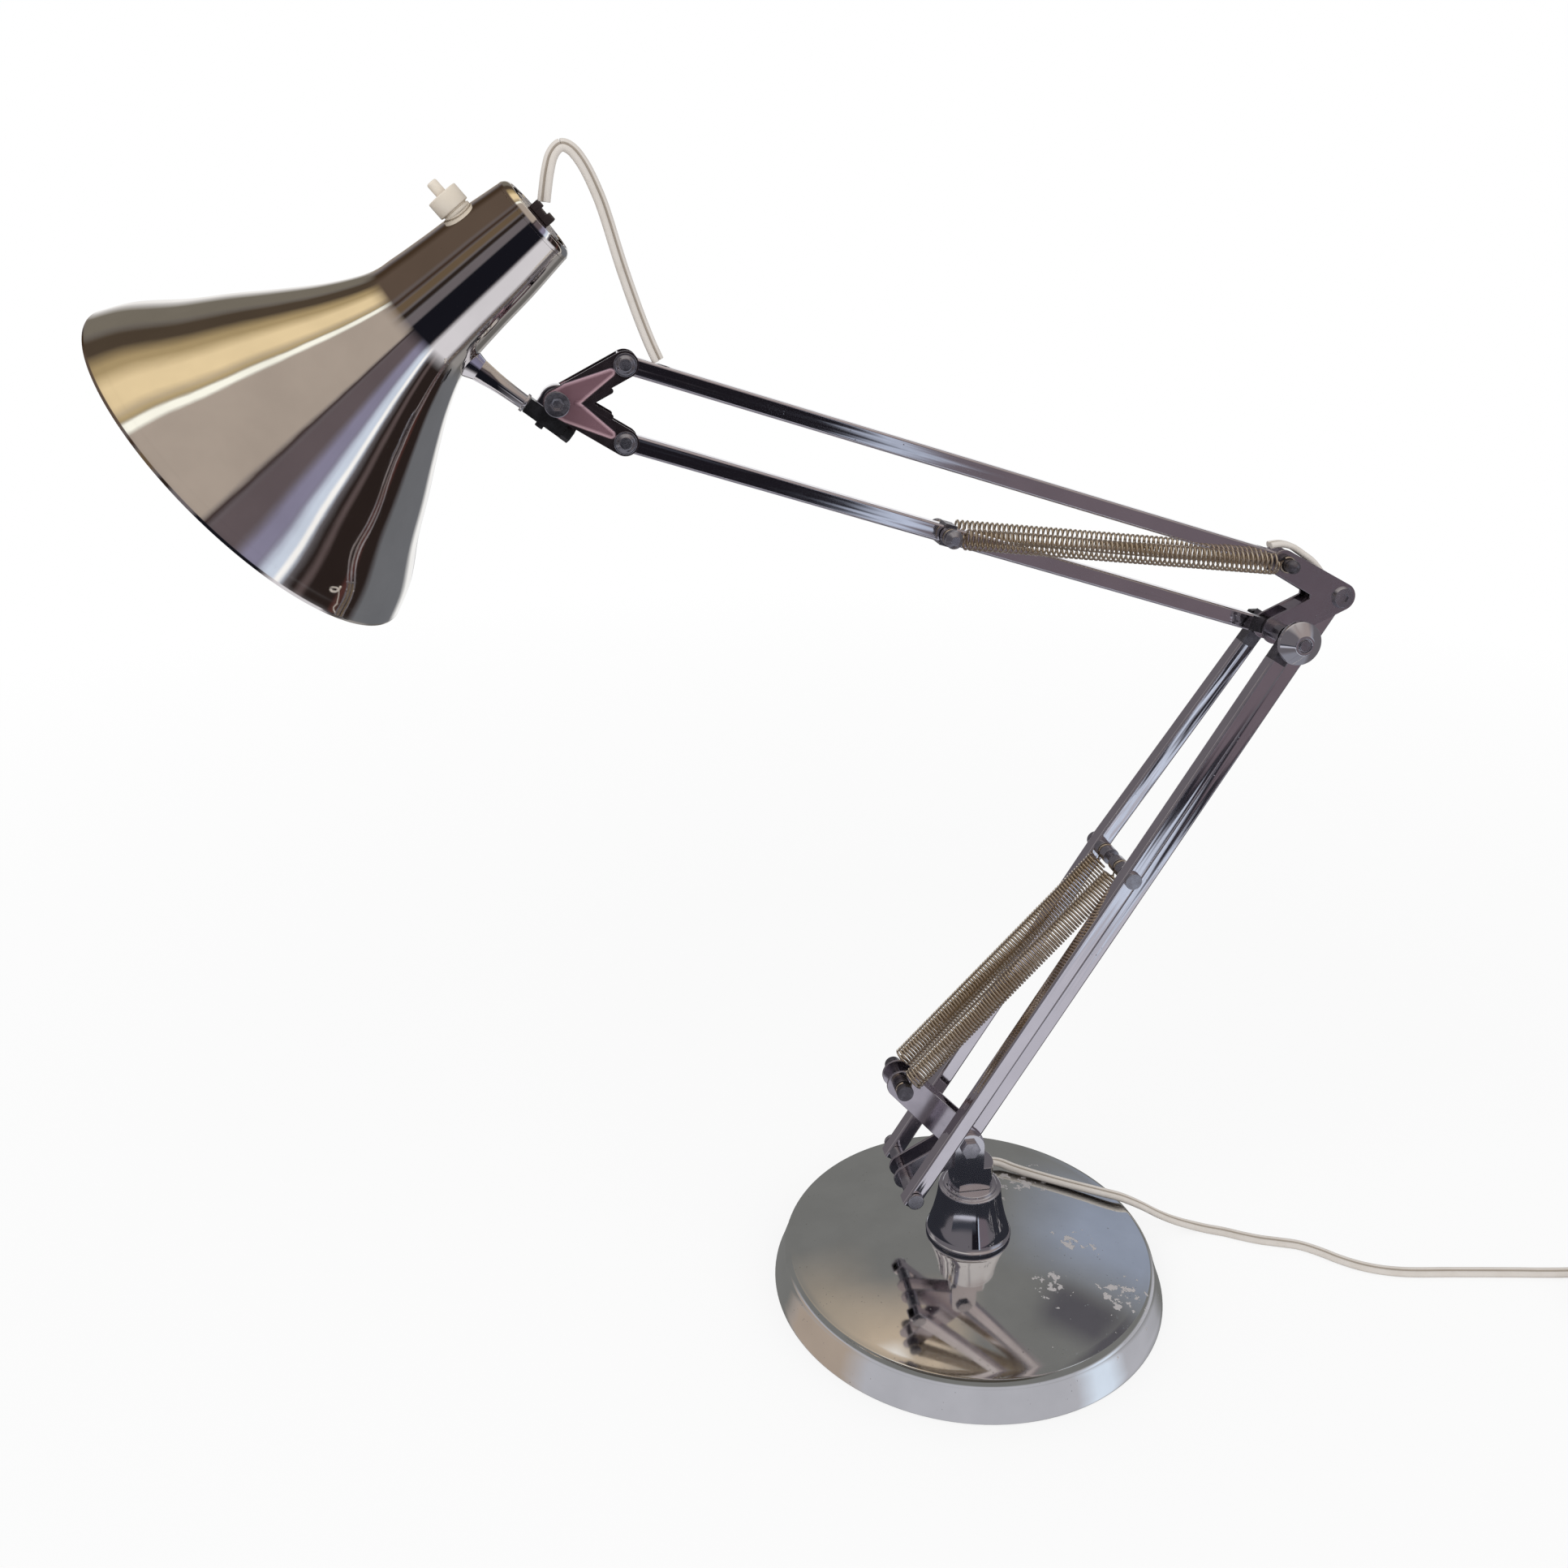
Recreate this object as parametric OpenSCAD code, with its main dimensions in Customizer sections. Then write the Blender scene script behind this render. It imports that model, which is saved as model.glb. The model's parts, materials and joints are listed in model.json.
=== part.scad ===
// Desk lamp with two parallelogram arms on a round weighted base.
// X runs to the right, the arms fold in the XZ plane, Y points to the back and Z is up.
// The origin is the middle of the felt's underside, on the axis that the arms swivel about.

/* [Base] */
// Radius of the base at the table
base_r = 110; // [100:1:125]
// Radius where the side meets the top
base_top_r = 104.5; // [96:0.5:118]
// Height of the side
base_side_h = 20.5; // [17:0.5:26]
// Height of the middle of the domed top
base_dome_h = 30; // [27:0.5:38]
// Rounding between the side and the top
base_shoulder_r = 4; // [2:0.5:6]
// Thickness of the chromed steel cover
cover_wall = 1.2; // [0.8:0.1:2]
// Thickness of the felt pad
felt_t = 1.5; // [1:0.25:3]
// How far the felt stays inside the edge of the base
felt_inset = 6; // [4:0.5:12]
// Height of the bottom edge of the cover above the table
cover_lift = 0.5; // [0.25:0.25:0.75]

/* [Post] */
// Radius of the foot of the post cup
cup_foot_r = 24; // [21:0.5:27]
// Radius of the top of the post cup
cup_top_r = 17.5; // [16:0.5:20]
// Height of the top of the post cup above the table
cup_top_z = 62; // [58:0.5:66]
// Wall of the post cup
cup_wall = 1.6; // [1:0.1:2]
// Height of the rolled lip round the foot of the cup
cup_lip_h = 3; // [2:0.25:5]
// Radius of the stem that the arms swivel on
stem_r = 6; // [5:0.25:7]

/* [Fork] */
// Width of the fork's block from left to right
fork_w = 25; // [22:0.5:28]
// Height of the fork's block
fork_block_h = 13.5; // [11:0.5:14]
// Distance of the main pivot from the swivel axis
pivot_x = -3.5; // [-5:0.25:-2]
// Height of the main pivot above the table
pivot_z = 89.5; // [88:0.5:93]
// Thickness of each cheek of the fork
cheek_t = 2.7; // [2:0.1:3.5]
// Radius of the rounded tops of the cheeks
cheek_r = 8.5; // [7:0.25:10]

/* [Arms] */
// Outer width of the square tube
bar_w = 8.6; // [8:0.1:9]
// Wall of the square tube
bar_wall = 0.8; // [0.6:0.05:1.1]
// Length of the lower arm from pivot to pivot
lower_len = 360.5; // [330:0.5:390]
// Lean of the lower arm above the horizontal, in degrees
lower_lean = 58.25; // [50:0.25:66]
// Length of the upper arm from pivot to pivot
upper_len = 350; // [320:1:380]
// Direction of the upper arm, in degrees from straight right
upper_lean = 162.5; // [155:0.25:170]
// How far a bar runs past its last pivot
bar_over = 5; // [4:0.25:5.5]
// Distance of the two front bars from the middle plane
front_bar_y = 21.3; // [20.5:0.1:23]
// Distance of the far front bar from the middle plane at the elbow, where it is bent inwards
bent_bar_y = 11.3; // [11.2:0.1:12]

/* [Brackets] */
// Thickness of the bracket sheet
sheet_t = 1.5; // [1.2:0.1:1.7]
// Gap between a bar and the bracket sheet beside it
side_gap = 0.35; // [0.25:0.05:0.5]
// How far left of the main pivot the front bars are hinged
link_run = 35.25; // [33:0.25:37]
// How far below the main pivot the front bars are hinged
link_drop = 16.35; // [15:0.05:18]
// How far left of the main pivot the lower springs are hooked
hook_run = 39.25; // [37:0.25:41]
// How far above the main pivot the lower springs are hooked
hook_rise = 42.5; // [40:0.5:45]
// How far left of the rear elbow pivot the top rod is hinged
rod_run = 34.5; // [33:0.5:36]
// How far above the rear elbow pivot the top rod is hinged
rod_rise = 19.5; // [18.5:0.5:21]
// How far left of the yoke's lower pivot the head is hinged
head_run = 30.75; // [30:0.25:33]
// How far above the yoke's lower pivot the head is hinged
head_rise = 19; // [18:0.5:20]
// Radius of the wide corners of the brackets
corner_r = 8; // [7.5:0.1:8.5]
// Radius of the corners of the elbow bracket
elbow_r = 7.4; // [7:0.1:8]
// Radius of the narrow ends of the brackets
tip_r = 6.75; // [6.5:0.05:7]

/* [Bolts] */
// Radius of the pivot bolts
bolt_r = 3; // [2.5:0.1:3.2]
// Radius of the spring pins
pin_r = 2.2; // [1.8:0.1:2.5]
// Radius of the clamping knob at the elbow
knob_r = 11.4; // [10:0.2:13]
// Depth of the clamping knob
knob_h = 9.5; // [8:0.5:12]

/* [Springs] */
// Outer diameter of the lower springs
low_spring_d = 12.2; // [11:0.1:12.3]
// Distance of the lower springs from the middle plane
low_spring_y = 10.5; // [10.4:0.1:10.8]
// Outer diameter of the upper springs
top_spring_d = 11.5; // [10:0.1:11.6]
// Distance of the upper springs from the middle plane
top_spring_y = 10.6; // [10.4:0.1:11]
// Thickness of the spring wire
wire_d = 1.6; // [1.2:0.1:1.8]
// Number of curls in each spring
curls = 18; // [14:1:18]
// Distance along the front bars from the bottom hinge to the spring pin
low_anchor = 212; // [200:1:230]
// Distance along the lower rod from the elbow to the spring clamp
top_anchor = 186; // [170:1:200]

/* [Head] */
// Direction of the head's tube, in degrees below straight right
tube_lean = 37.5; // [34:0.5:41]
// Distance of the head pivot from the tube's axis
tube_drop = 9; // [8.5:0.25:10]
// Length of the clamping block along the tube
block_len = 20.4; // [19:0.2:21]
// Thickness of the clamping block
block_h = 7.2; // [7:0.1:7.6]
// Length of the visible tube between the block and the shade
tube_len = 28.7; // [27:0.1:31]
// Radius of the tube beside the shade
tube_wide_r = 4.4; // [4.1:0.1:4.8]
// Radius of the tube beside the block
tube_thin_r = 3.5; // [3.2:0.1:3.8]
// Radius of the round head of the tilt screw
disc_r = 5.9; // [5:0.1:6.5]

/* [Shade] */
// Length of the shade from its cap to its rim
shade_len = 173.5; // [165:0.5:185]
// Radius of the rim
rim_r = 92; // [85:0.5:100]
// Thickness of the shade
shade_wall = 1; // [0.8:0.1:1.4]
// Direction of the shade's axis, in degrees from straight right
shade_lean = 220; // [217:0.5:223]
// Turn of the shade towards the back, in degrees
shade_turn = 4.6; // [0:0.2:6]
// Distance from the cap to where the tube meets the neck
tube_at = 67; // [64:0.5:70]

/* [Switch and bulb] */
// Distance from the cap to the middle of the switch
switch_at = 26; // [24:0.5:30]
// Diameter of the switch body
switch_d = 14.9; // [13:0.1:16]
// Height of the switch body above the neck
switch_h = 9.7; // [8:0.1:11]
// Diameter of the push button
button_d = 5; // [4:0.1:6]
// Height of the push button above the switch body
button_h = 6.6; // [5:0.1:8]
// Radius of the bulb's globe
globe_r = 27; // [24:0.5:30]
// Distance from the cap to the far end of the bulb
bulb_end = 138; // [132:1:142]

/* [Cord] */
// Width of the flat twin cord
cord_w = 6.6; // [6:0.1:6.8]
// Thickness of the flat twin cord
cord_t = 3.3; // [3:0.1:3.5]
// Radius of the outer turn of the coil
coil_r = 47; // [46:0.5:50]
// Turns in the coil
coil_turns = 6; // [4:2:6]

/* [Hidden] */
$fn = 64;
hull_fn = 32;

// Clearances and overruns
overrun = 1;
run_gap = 0.05;
open_gap = 0.3;
face_gap = 0.2;
curve_gap = 0.3;
grip = 0.3;

// Places of the pivots, in the plane of the arms
function polar(len, angle) = [len * cos(angle), 0, len * sin(angle)];
main_at = [pivot_x, 0, pivot_z];
low_link_at = main_at + [-link_run, 0, -link_drop];
low_hook_at = main_at + [-hook_run, 0, hook_rise];
rear_at = main_at + polar(lower_len, lower_lean);
knob_at = rear_at + [-link_run, 0, -link_drop];
rod_at = rear_at + [-rod_run, 0, rod_rise];
yoke_low_at = knob_at + polar(upper_len, upper_lean);
yoke_high_at = rod_at + polar(upper_len, upper_lean);
head_at = yoke_low_at + [-head_run, 0, head_rise];
low_pin_at = low_link_at + polar(low_anchor, lower_lean);
top_pin_at = knob_at + polar(top_anchor, upper_lean);

// Layers to either side of the middle plane
bar_half = bar_w / 2;
plate_in = bar_half + side_gap;
plate_out = plate_in + sheet_t;
front_in = front_bar_y - bar_half;
front_out = front_bar_y + bar_half;
spacer_out = front_in - face_gap;
bore_r = bolt_r + run_gap;
pin_bore_r = pin_r + run_gap;
head_out = front_out + curve_gap;
bend_at = low_anchor + 8;
bend = atan((front_bar_y - bent_bar_y) / (lower_len - bend_at));
bent_out = bent_bar_y + bar_half + curve_gap;

module along(angle) { rotate([0, -angle, 0]) children(); }
module across(y0, y1, r0, r1) {
    translate([0, y1, 0]) rotate([90, 0, 0]) cylinder(h = y1 - y0, r1 = r1, r2 = r0);
}
module pin(y0, y1, r) { across(y0, y1, r, r); }
module pair() {
    children();
    mirror([0, 1, 0]) children();
}
module hexagon(y0, y1, r) {
    translate([0, y1, 0]) rotate([90, 0, 0]) cylinder(h = y1 - y0, r = r, $fn = 6);
}
// A plate in the plane of the arms, from y0 to y1
module plate(y0, y1) { translate([0, y1, 0]) rotate([90, 0, 0]) linear_extrude(y1 - y0) children(); }

// A straight leg between two round ends
module leg(p, q, rp, rq) {
    gap = norm(q - p);
    facing = atan2(q[2] - p[2], q[0] - p[0]);
    slope = acos((rp - rq) / gap);
    function edge(c, r, a) = [c[0] + r * cos(a), c[2] + r * sin(a)];
    translate([p[0], p[2]]) circle(r = rp);
    translate([q[0], q[2]]) circle(r = rq);
    polygon([
        edge(p, rp, facing - slope), edge(q, rq, facing - slope),
        edge(q, rq, facing + slope), edge(p, rp, facing + slope)
    ]);
}
// The filled corner where two legs meet
module gusset(p, q, s, reach) {
    a = p + reach * (q - p) / norm(q - p);
    b = p + reach * (s - p) / norm(s - p);
    polygon([[p[0], p[2]], [a[0], a[2]], [b[0], b[2]]]);
}
// A strip between both plates beside a leg: side is -1 on its right as one looks from p to q, and 1 on its left
module web(p, q, from, to, offset, thick, side) {
    facing = atan2(q[2] - p[2], q[0] - p[0]);
    translate(p) along(facing)
        translate([from, -plate_out, side > 0 ? offset : -offset - thick])
            cube([to - from, 2 * plate_out, thick]);
}

// A square tube that starts at its first pivot and runs along +X
bar_corner_r = 1.2;
module square_tube(len, half) {
    core = half - bar_corner_r;
    hollow = half - bar_wall;
    translate([-bar_over, 0, 0]) rotate([90, 0, 90]) linear_extrude(len + 2 * bar_over) difference() {
        union() {
            square([2 * half, 2 * core], center = true);
            square([2 * core, 2 * half], center = true);
            for (y = [-core, core], z = [-core, core]) translate([y, z]) circle(r = bar_corner_r);
        }
        square([2 * hollow, 2 * hollow], center = true);
    }
}
module bar_bore(at, r) { translate([at, 0, 0]) pin(-bar_w, bar_w, r); }

// Sweeps: an even-sided tube with rings at the points, whose width follows the reference vectors
function unit(v) = v / norm(v);
function heading(p, i) = unit(p[min(i + 1, len(p) - 1)] - p[max(i - 1, 0)]);
function square_to(ref, t) = unit(ref - (ref * t) * t);
function ring(c, t, ref, w, h, sides) =
    let (u = square_to(ref, t), v = cross(t, u))
    [for (k = [0 : sides - 1]) c + u * w / 2 * cos(360 * k / sides) + v * h / 2 * sin(360 * k / sides)];
function tube_skin(rings, sides) = [
    for (i = [0 : rings - 2], k = [0 : sides - 1], half = [0, 1])
        let (a = i * sides + k, b = i * sides + (k + 1) % sides)
        half == 0 ? [a, b, b + sides] : [a, b + sides, a + sides]
];
function tube_ends(rings, sides) = [
    for (k = [1 : sides - 2]) each [[0, k + 1, k], (rings - 1) * sides * [1, 1, 1] + [0, k, k + 1]]
];
module tube(p, refs, w, h, sides, ways = []) {
    polyhedron(
        points = [for (i = [0 : len(p) - 1])
            each ring(p[i], len(ways) > 0 ? ways[i] : heading(p, i), refs[i], w, h, sides)],
        faces = concat(
            [for (f = tube_skin(len(p), sides)) [f[2], f[1], f[0]]],
            [for (f = tube_ends(len(p), sides)) [f[2], f[1], f[0]]]
        )
    );
}
// Least gap between rings of one tube that are more than skip apart
function least_gap(p, skip, thick) =
    min([for (i = [0 : len(p) - 1 - skip]) min([for (j = [i + skip : len(p) - 1]) norm(p[i] - p[j])])]) - thick;

// Base
cover_edge = base_top_r - base_shoulder_r;
function dome_z(r) = base_side_h + (base_dome_h - base_side_h) * (1 - pow(r / cover_edge, 2));
dome_steps = 10;
function side_r(z) = base_r + (base_top_r - base_r) * z / (base_side_h - base_shoulder_r);
// Outline of the base, from the edge to the middle, inset all round
function base_outline(inset, low) = concat(
    [[side_r(low) - inset, low]],
    [for (a = [0 : 15 : 75])
        [cover_edge + (base_shoulder_r - inset) * cos(a),
         base_side_h - base_shoulder_r + (base_shoulder_r - inset) * sin(a)]],
    [for (i = [0 : dome_steps]) let (r = cover_edge * (1 - i / dome_steps)) [r, dome_z(r) - inset]]
);
function backwards(list) = [for (i = [len(list) - 1 : -1 : 0]) list[i]];
nut_h = 6;
nut_r = 10;
pocket_gap = 2;
nut_room = 3;
stem_over = 1;
pocket_r = nut_r + pocket_gap;
pocket_top = felt_t + nut_h + nut_room;
stem_end = pocket_top - nut_h - face_gap - stem_over;
stem_hole_r = stem_r + run_gap;

module base_felt() {
    color("#2b2b2d") difference() {
        cylinder(h = felt_t, r = base_r - felt_inset);
        translate([0, 0, -overrun]) cylinder(h = felt_t + 2 * overrun, r = pocket_r);
    }
}
module base_weight() {
    color("#4a4b4d") difference() {
        rotate_extrude() polygon(concat([[0, felt_t]], base_outline(cover_wall, felt_t)));
        translate([0, 0, felt_t - overrun]) cylinder(h = pocket_top - felt_t + overrun, r = pocket_r);
        cylinder(h = base_dome_h + overrun, r = stem_hole_r);
    }
}
module base_cover() {
    color("#b9bbbe") difference() {
        rotate_extrude()
            polygon(concat(base_outline(0, cover_lift), backwards(base_outline(cover_wall, cover_lift))));
        cylinder(h = base_dome_h + overrun, r = stem_hole_r + run_gap);
    }
}

// Post cup: a bell with a rolled lip at its foot and a stepped top
cup_z = dome_z(cup_foot_r - cup_wall);
cup_h = cup_top_z - cup_z;
cup_step_h = 1.6;
cup_step_in = 2.6;
cup_lip_in = 1;
cup_bell_shares = [[0, 1], [0.15, 0.8], [0.35, 0.5], [0.6, 0.22], [0.85, 0.04], [1, 0]];
function cup_outline(inset, low, high) = concat(
    [[cup_foot_r - inset, low]],
    [for (s = cup_bell_shares)
        [cup_top_r - inset + (cup_foot_r - cup_lip_in - cup_top_r) * s[1],
         cup_z + cup_lip_h + (cup_h - cup_lip_h - cup_step_h) * s[0] - (high ? 0 : cup_wall * s[0])]]
);
module post_cup() {
    top = cup_top_z - cup_step_h;
    color("#a9abae") difference() {
        union() {
            rotate_extrude() polygon(concat([[0, cup_z]], cup_outline(0, cup_z, true), [[0, top]]));
            translate([0, 0, cup_z + cup_lip_h / 2]) rotate_extrude()
                translate([cup_foot_r - cup_lip_h / 2, 0]) circle(r = cup_lip_h / 2);
            translate([0, 0, top - overrun]) cylinder(h = cup_step_h + overrun, r = cup_top_r - cup_step_in);
        }
        rotate_extrude() polygon(concat(
            [[0, cup_z - overrun], [cup_foot_r - cup_wall, cup_z - overrun]],
            cup_outline(cup_wall, cup_z, false),
            [[0, top - cup_wall]]
        ));
        translate([0, 0, cup_z]) cylinder(h = cup_h + overrun, r = stem_hole_r);
        lead_way(0) cylinder(h = cup_foot_r, r = gland_neck_r);
    }
}

// The mains lead leaves the back of the post cup through a tapered gland
gland_turn = 60;
gland_z = 36;
gland_from = 19;
gland_len = 22;
gland_wide_r = 5;
gland_tip_r = 4;
gland_neck_r = 3.8;
module lead_way(from) { translate([0, 0, gland_z]) rotate([0, 90, gland_turn]) translate([0, 0, from]) children(); }
module lead_gland() {
    color("#d9d4c8") difference() {
        union() {
            difference() {
                lead_way(gland_from) cylinder(h = gland_len, r1 = gland_wide_r, r2 = gland_tip_r);
                rotate_extrude() polygon(concat([[0, cup_z]], cup_outline(0, cup_z, true), [[0, cup_top_z]]));
            }
            lead_way(gland_from - cup_wall) cylinder(h = gland_len / 2, r = gland_neck_r - run_gap);
        }
        lead_way(0) cylinder(h = gland_from + cup_wall, r = cord_t / 2);
    }
}

// Route of the mains lead: its points were chosen by hand along the photographed line
gland_end = [(gland_from + gland_len) * cos(gland_turn), (gland_from + gland_len) * sin(gland_turn), gland_z];
floor_z = 1.9;
tie_t = 0.8;
coil_low_z = tie_t + cord_t / 2;
coil_at = [376, -60 - coil_r, coil_low_z];
lead_points = concat([gland_end], [
    [23.5, 42.5, 35.5], [26.8, 50, 33.6], [30.5, 56, 31.2], [37, 56, 29.6], [43.5, 51, 28.9],
    [53, 44.8, 28.2], [63, 38.8, 27.5], [73, 33.3, 26.8], [83, 28.2, 26], [92, 23.8, 25.2],
    [100, 20.5, 24], [107, 18.2, 21.6], [114, 17, 18], [123, 16, 12.6], [133, 15.2, 7.6],
    [144, 14, 3.6], [153, 11.4, floor_z], [162, 7, floor_z], [171, 1.6, floor_z], [180, -3, floor_z],
    [190, -6.8, floor_z], [200, -11, floor_z], [209, -18, floor_z], [217, -26, floor_z],
    [226, -33, floor_z], [236, -38.2, floor_z], [247, -41.8, floor_z], [258, -44, floor_z],
    [271, -46, floor_z], [284, -48.2, floor_z], [297, -50.4, floor_z], [312, -53, floor_z],
    [328, -56, 2], [344, -58.6, 2.2], [360, -60, coil_low_z], [coil_at[0], -60, coil_low_z]
]);
up = [0, 0, 1];
function level_refs(p) = [for (i = [0 : len(p) - 1]) cross(up, heading(p, i))];
cord_sides = 8;
module mains_cord() { color("#d6cfc4") tube(lead_points, level_refs(lead_points), cord_w, cord_t, cord_sides); }

// Coil of the unseen length: two layers that spiral in and out again, wound clockwise seen from above
turn_gap = 0.6;
layer_gap = 1.7;
coil_pitch = cord_w + turn_gap;
layer_h = cord_t + layer_gap;
loop_rings = 24;
coil_sides = 6;
coil_tail = 30;
function coil_point(turn) =
    let (
        in = min(turn, coil_turns - turn),
        r = coil_r - coil_pitch * in,
        climb = max(0, min(1, (turn - coil_turns / 2 + 0.25) / 0.5))
    )
    coil_at + [r * sin(360 * turn), r * cos(360 * turn), layer_h * climb];
coil_points = concat(
    [for (i = [0 : coil_turns * loop_rings]) coil_point(i / loop_rings)],
    [for (s = [0.4, 1]) coil_point(coil_turns) + [coil_tail * s, 0, 0]]
);
module mains_coil() {
    color("#d6cfc4") tube(coil_points, level_refs(coil_points), cord_w, cord_t, coil_sides);
}
// Gap between two flat turns, along the line between their middles
function flat_gap(p, q) = norm(q - p) * (1 - cord_w / norm([q[0] - p[0], q[1] - p[1], (q[2] - p[2]) * cord_w / cord_t]));
echo(coil_gap = min([
    for (i = [0 : len(coil_points) - 7]) min([for (j = [i + 6 : len(coil_points) - 1])
        flat_gap(coil_points[i], coil_points[j])])
]));
lead_len = [for (i = [1 : len(lead_points) - 1]) norm(lead_points[i] - lead_points[i - 1])];
coil_len = [for (i = [1 : len(coil_points) - 1]) norm(coil_points[i] - coil_points[i - 1])];
function total(list) = list * [for (v = list) 1];
echo(cord_length = total(lead_len) + total(coil_len));

tie_w = 8;
module coil_tie() {
    inner = coil_r - coil_pitch * coil_turns / 2 - cord_w / 2 - curve_gap;
    span = coil_r + cord_w / 2 + curve_gap - inner;
    rise = layer_h + cord_t + curve_gap;
    color("#3a3a3c") translate([coil_at[0] - tie_w / 2, coil_at[1] - inner - span, tie_t - face_gap])
        difference() {
            translate([0, -tie_t, -tie_t + face_gap]) cube([tie_w, span + 2 * tie_t, rise + 2 * tie_t]);
            translate([-overrun, 0, 0]) cube([tie_w + 2 * overrun, span, rise]);
        }
}
// Flat two-pin plug lying beside the coil
plug_len = 36;
plug_w = 24;
prong_r = 2;
prong_len = 19;
prong_gap = 18.6;
module mains_plug() {
    half = coil_low_z + layer_h;
    translate(coil_point(coil_turns) + [coil_tail, 0, 0]) {
        color("#d6d1c6") difference() {
            translate([0, 0, -half]) linear_extrude(2 * half) polygon([
                [0, -plug_w / 4], [plug_len / 3, -plug_w / 2], [plug_len, -plug_w / 2],
                [plug_len, plug_w / 2], [plug_len / 3, plug_w / 2], [0, plug_w / 4]
            ]);
            for (y = [-prong_gap / 2, prong_gap / 2]) translate([plug_len - prong_len / 2, y, 0])
                rotate([0, 90, 0]) cylinder(h = prong_len, r = prong_r);
        }
        color("#c0a060") for (y = [-prong_gap / 2, prong_gap / 2]) translate([plug_len - prong_len / 2, y, 0])
            rotate([0, 90, 0]) cylinder(h = 1.5 * prong_len, r = prong_r);
    }
}

// Fork, stem and what is bolted to them
fork_z = cup_top_z + face_gap;
fork_top = fork_z + fork_block_h;
cheek_out = plate_out + cheek_t;
module swivel_fork() {
    color("#8f9196") difference() {
        union() {
            translate([0, 0, stem_end]) cylinder(h = fork_top - stem_end, r = stem_r);
            translate([0, 0, fork_z]) intersection() {
                translate([-fork_w / 2, -cheek_out, 0]) cube([fork_w, 2 * cheek_out, fork_block_h]);
                cylinder(h = fork_block_h, r = fork_w / 2);
            }
            pair() plate(plate_out, cheek_out) {
                translate([pivot_x, pivot_z]) circle(r = cheek_r);
                translate([pivot_x - cheek_r, fork_z + fork_block_h / 2])
                    square([2 * cheek_r, pivot_z - fork_z - fork_block_h / 2]);
            }
        }
        translate(main_at) pin(-cheek_out - overrun, cheek_out + overrun, bore_r);
    }
}
module stem_nut() {
    color("#77797c") translate([0, 0, pocket_top - face_gap - nut_h]) difference() {
        cylinder(h = nut_h, r = nut_r, $fn = 6);
        translate([0, 0, -overrun]) cylinder(h = nut_h + 2 * overrun, r = stem_hole_r);
    }
}
gusset_reach = 20;
main_corner_r = 9;
module bracket_bore(p, r) { translate(p) pin(-plate_out - overrun, plate_out + overrun, r); }
module base_bracket() {
    gap = norm(low_hook_at - main_at);
    color("#9a9a9f") difference() {
        union() {
            pair() plate(plate_in, plate_out) {
                leg(main_at, low_hook_at, main_corner_r, corner_r);
                leg(main_at, low_link_at, main_corner_r, tip_r);
                gusset(main_at, low_hook_at, low_link_at, gusset_reach);
            }
            web(main_at, low_hook_at, gap * 0.4, gap * 0.84, tip_r - sheet_t, sheet_t, -1);
        }
        bracket_bore(main_at, bore_r);
        bracket_bore(low_hook_at, pin_bore_r);
        bracket_bore(low_link_at, pin_bore_r);
    }
}
bolt_head_r = 5.5;
bolt_head_h = 2.5;
module main_bolt() {
    color("#c4c6c9") translate(main_at) {
        pin(-cheek_out, cheek_out + 2 * bolt_head_h, bolt_r);
        hexagon(-cheek_out - bolt_head_h, -cheek_out, bolt_head_r);
    }
}
module main_nut() {
    color("#c4c6c9") translate(main_at) difference() {
        hexagon(cheek_out, cheek_out + 1.5 * bolt_head_h, bolt_head_r);
        pin(cheek_out - overrun, cheek_out + 2 * bolt_head_h, bore_r);
    }
}
pin_head_r = 4.5;
pin_head_h = 2;
module bottom_pin() {
    color("#c4c6c9") translate(low_link_at) {
        pin(-head_out, head_out, pin_r);
        pair() pin(head_out, head_out + pin_head_h, pin_head_r);
    }
}
spacer_wall = 1.8;
module spacer(r) {
    difference() {
        pin(plate_out, spacer_out, r + spacer_wall);
        pin(plate_out - overrun, spacer_out + overrun, r + run_gap);
    }
}
module bottom_spacers() { color("#6f6f74") translate(low_link_at) pair() spacer(pin_r); }
spool_r = 4.5;
waist_r = 3.2;
waist_half = 1.4;
// A spool that a spring hooks round
module spool(y0, y, y1) {
    pin(y0, y - waist_half, spool_r);
    pin(y - waist_half, y + waist_half, waist_r);
    pin(y + waist_half, y1, spool_r);
}
spool_gap = 2;
spool_out = front_in - spool_gap;
module lower_spring_pin() {
    color("#4b4b50") translate(low_hook_at) {
        pin(-spool_out, spool_out, pin_r);
        pair() spool(plate_out, low_spring_y, spool_out);
    }
}

// Lower arm
module rear_bar() {
    color("#8c898d") translate(main_at) along(lower_lean) difference() {
        square_tube(lower_len, bar_half);
        bar_bore(0, bore_r);
        bar_bore(lower_len, bore_r);
        translate([lower_len - elbow_entry, 0, 0]) cylinder(h = bar_w, r = cord_w / 2);
    }
}
elbow_entry = 8;
lead_margin = 14;
lead_half = bar_half - bar_wall;
module inner_lead(len) {
    translate([lead_margin, -cord_w / 2, -lead_half]) cube([len - 2 * lead_margin, cord_w, cord_t]);
}
module rear_bar_lead() { color("#d6cfc4") translate(main_at) along(lower_lean) inner_lead(lower_len); }
end_len = 14;
end_trim = 0.4;
module front_bar_holes() {
    bar_bore(0, pin_bore_r);
    bar_bore(low_anchor, pin_bore_r);
}
module on_front_bar(y) { translate(low_link_at + [0, y, 0]) along(lower_lean) children(); }
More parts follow.
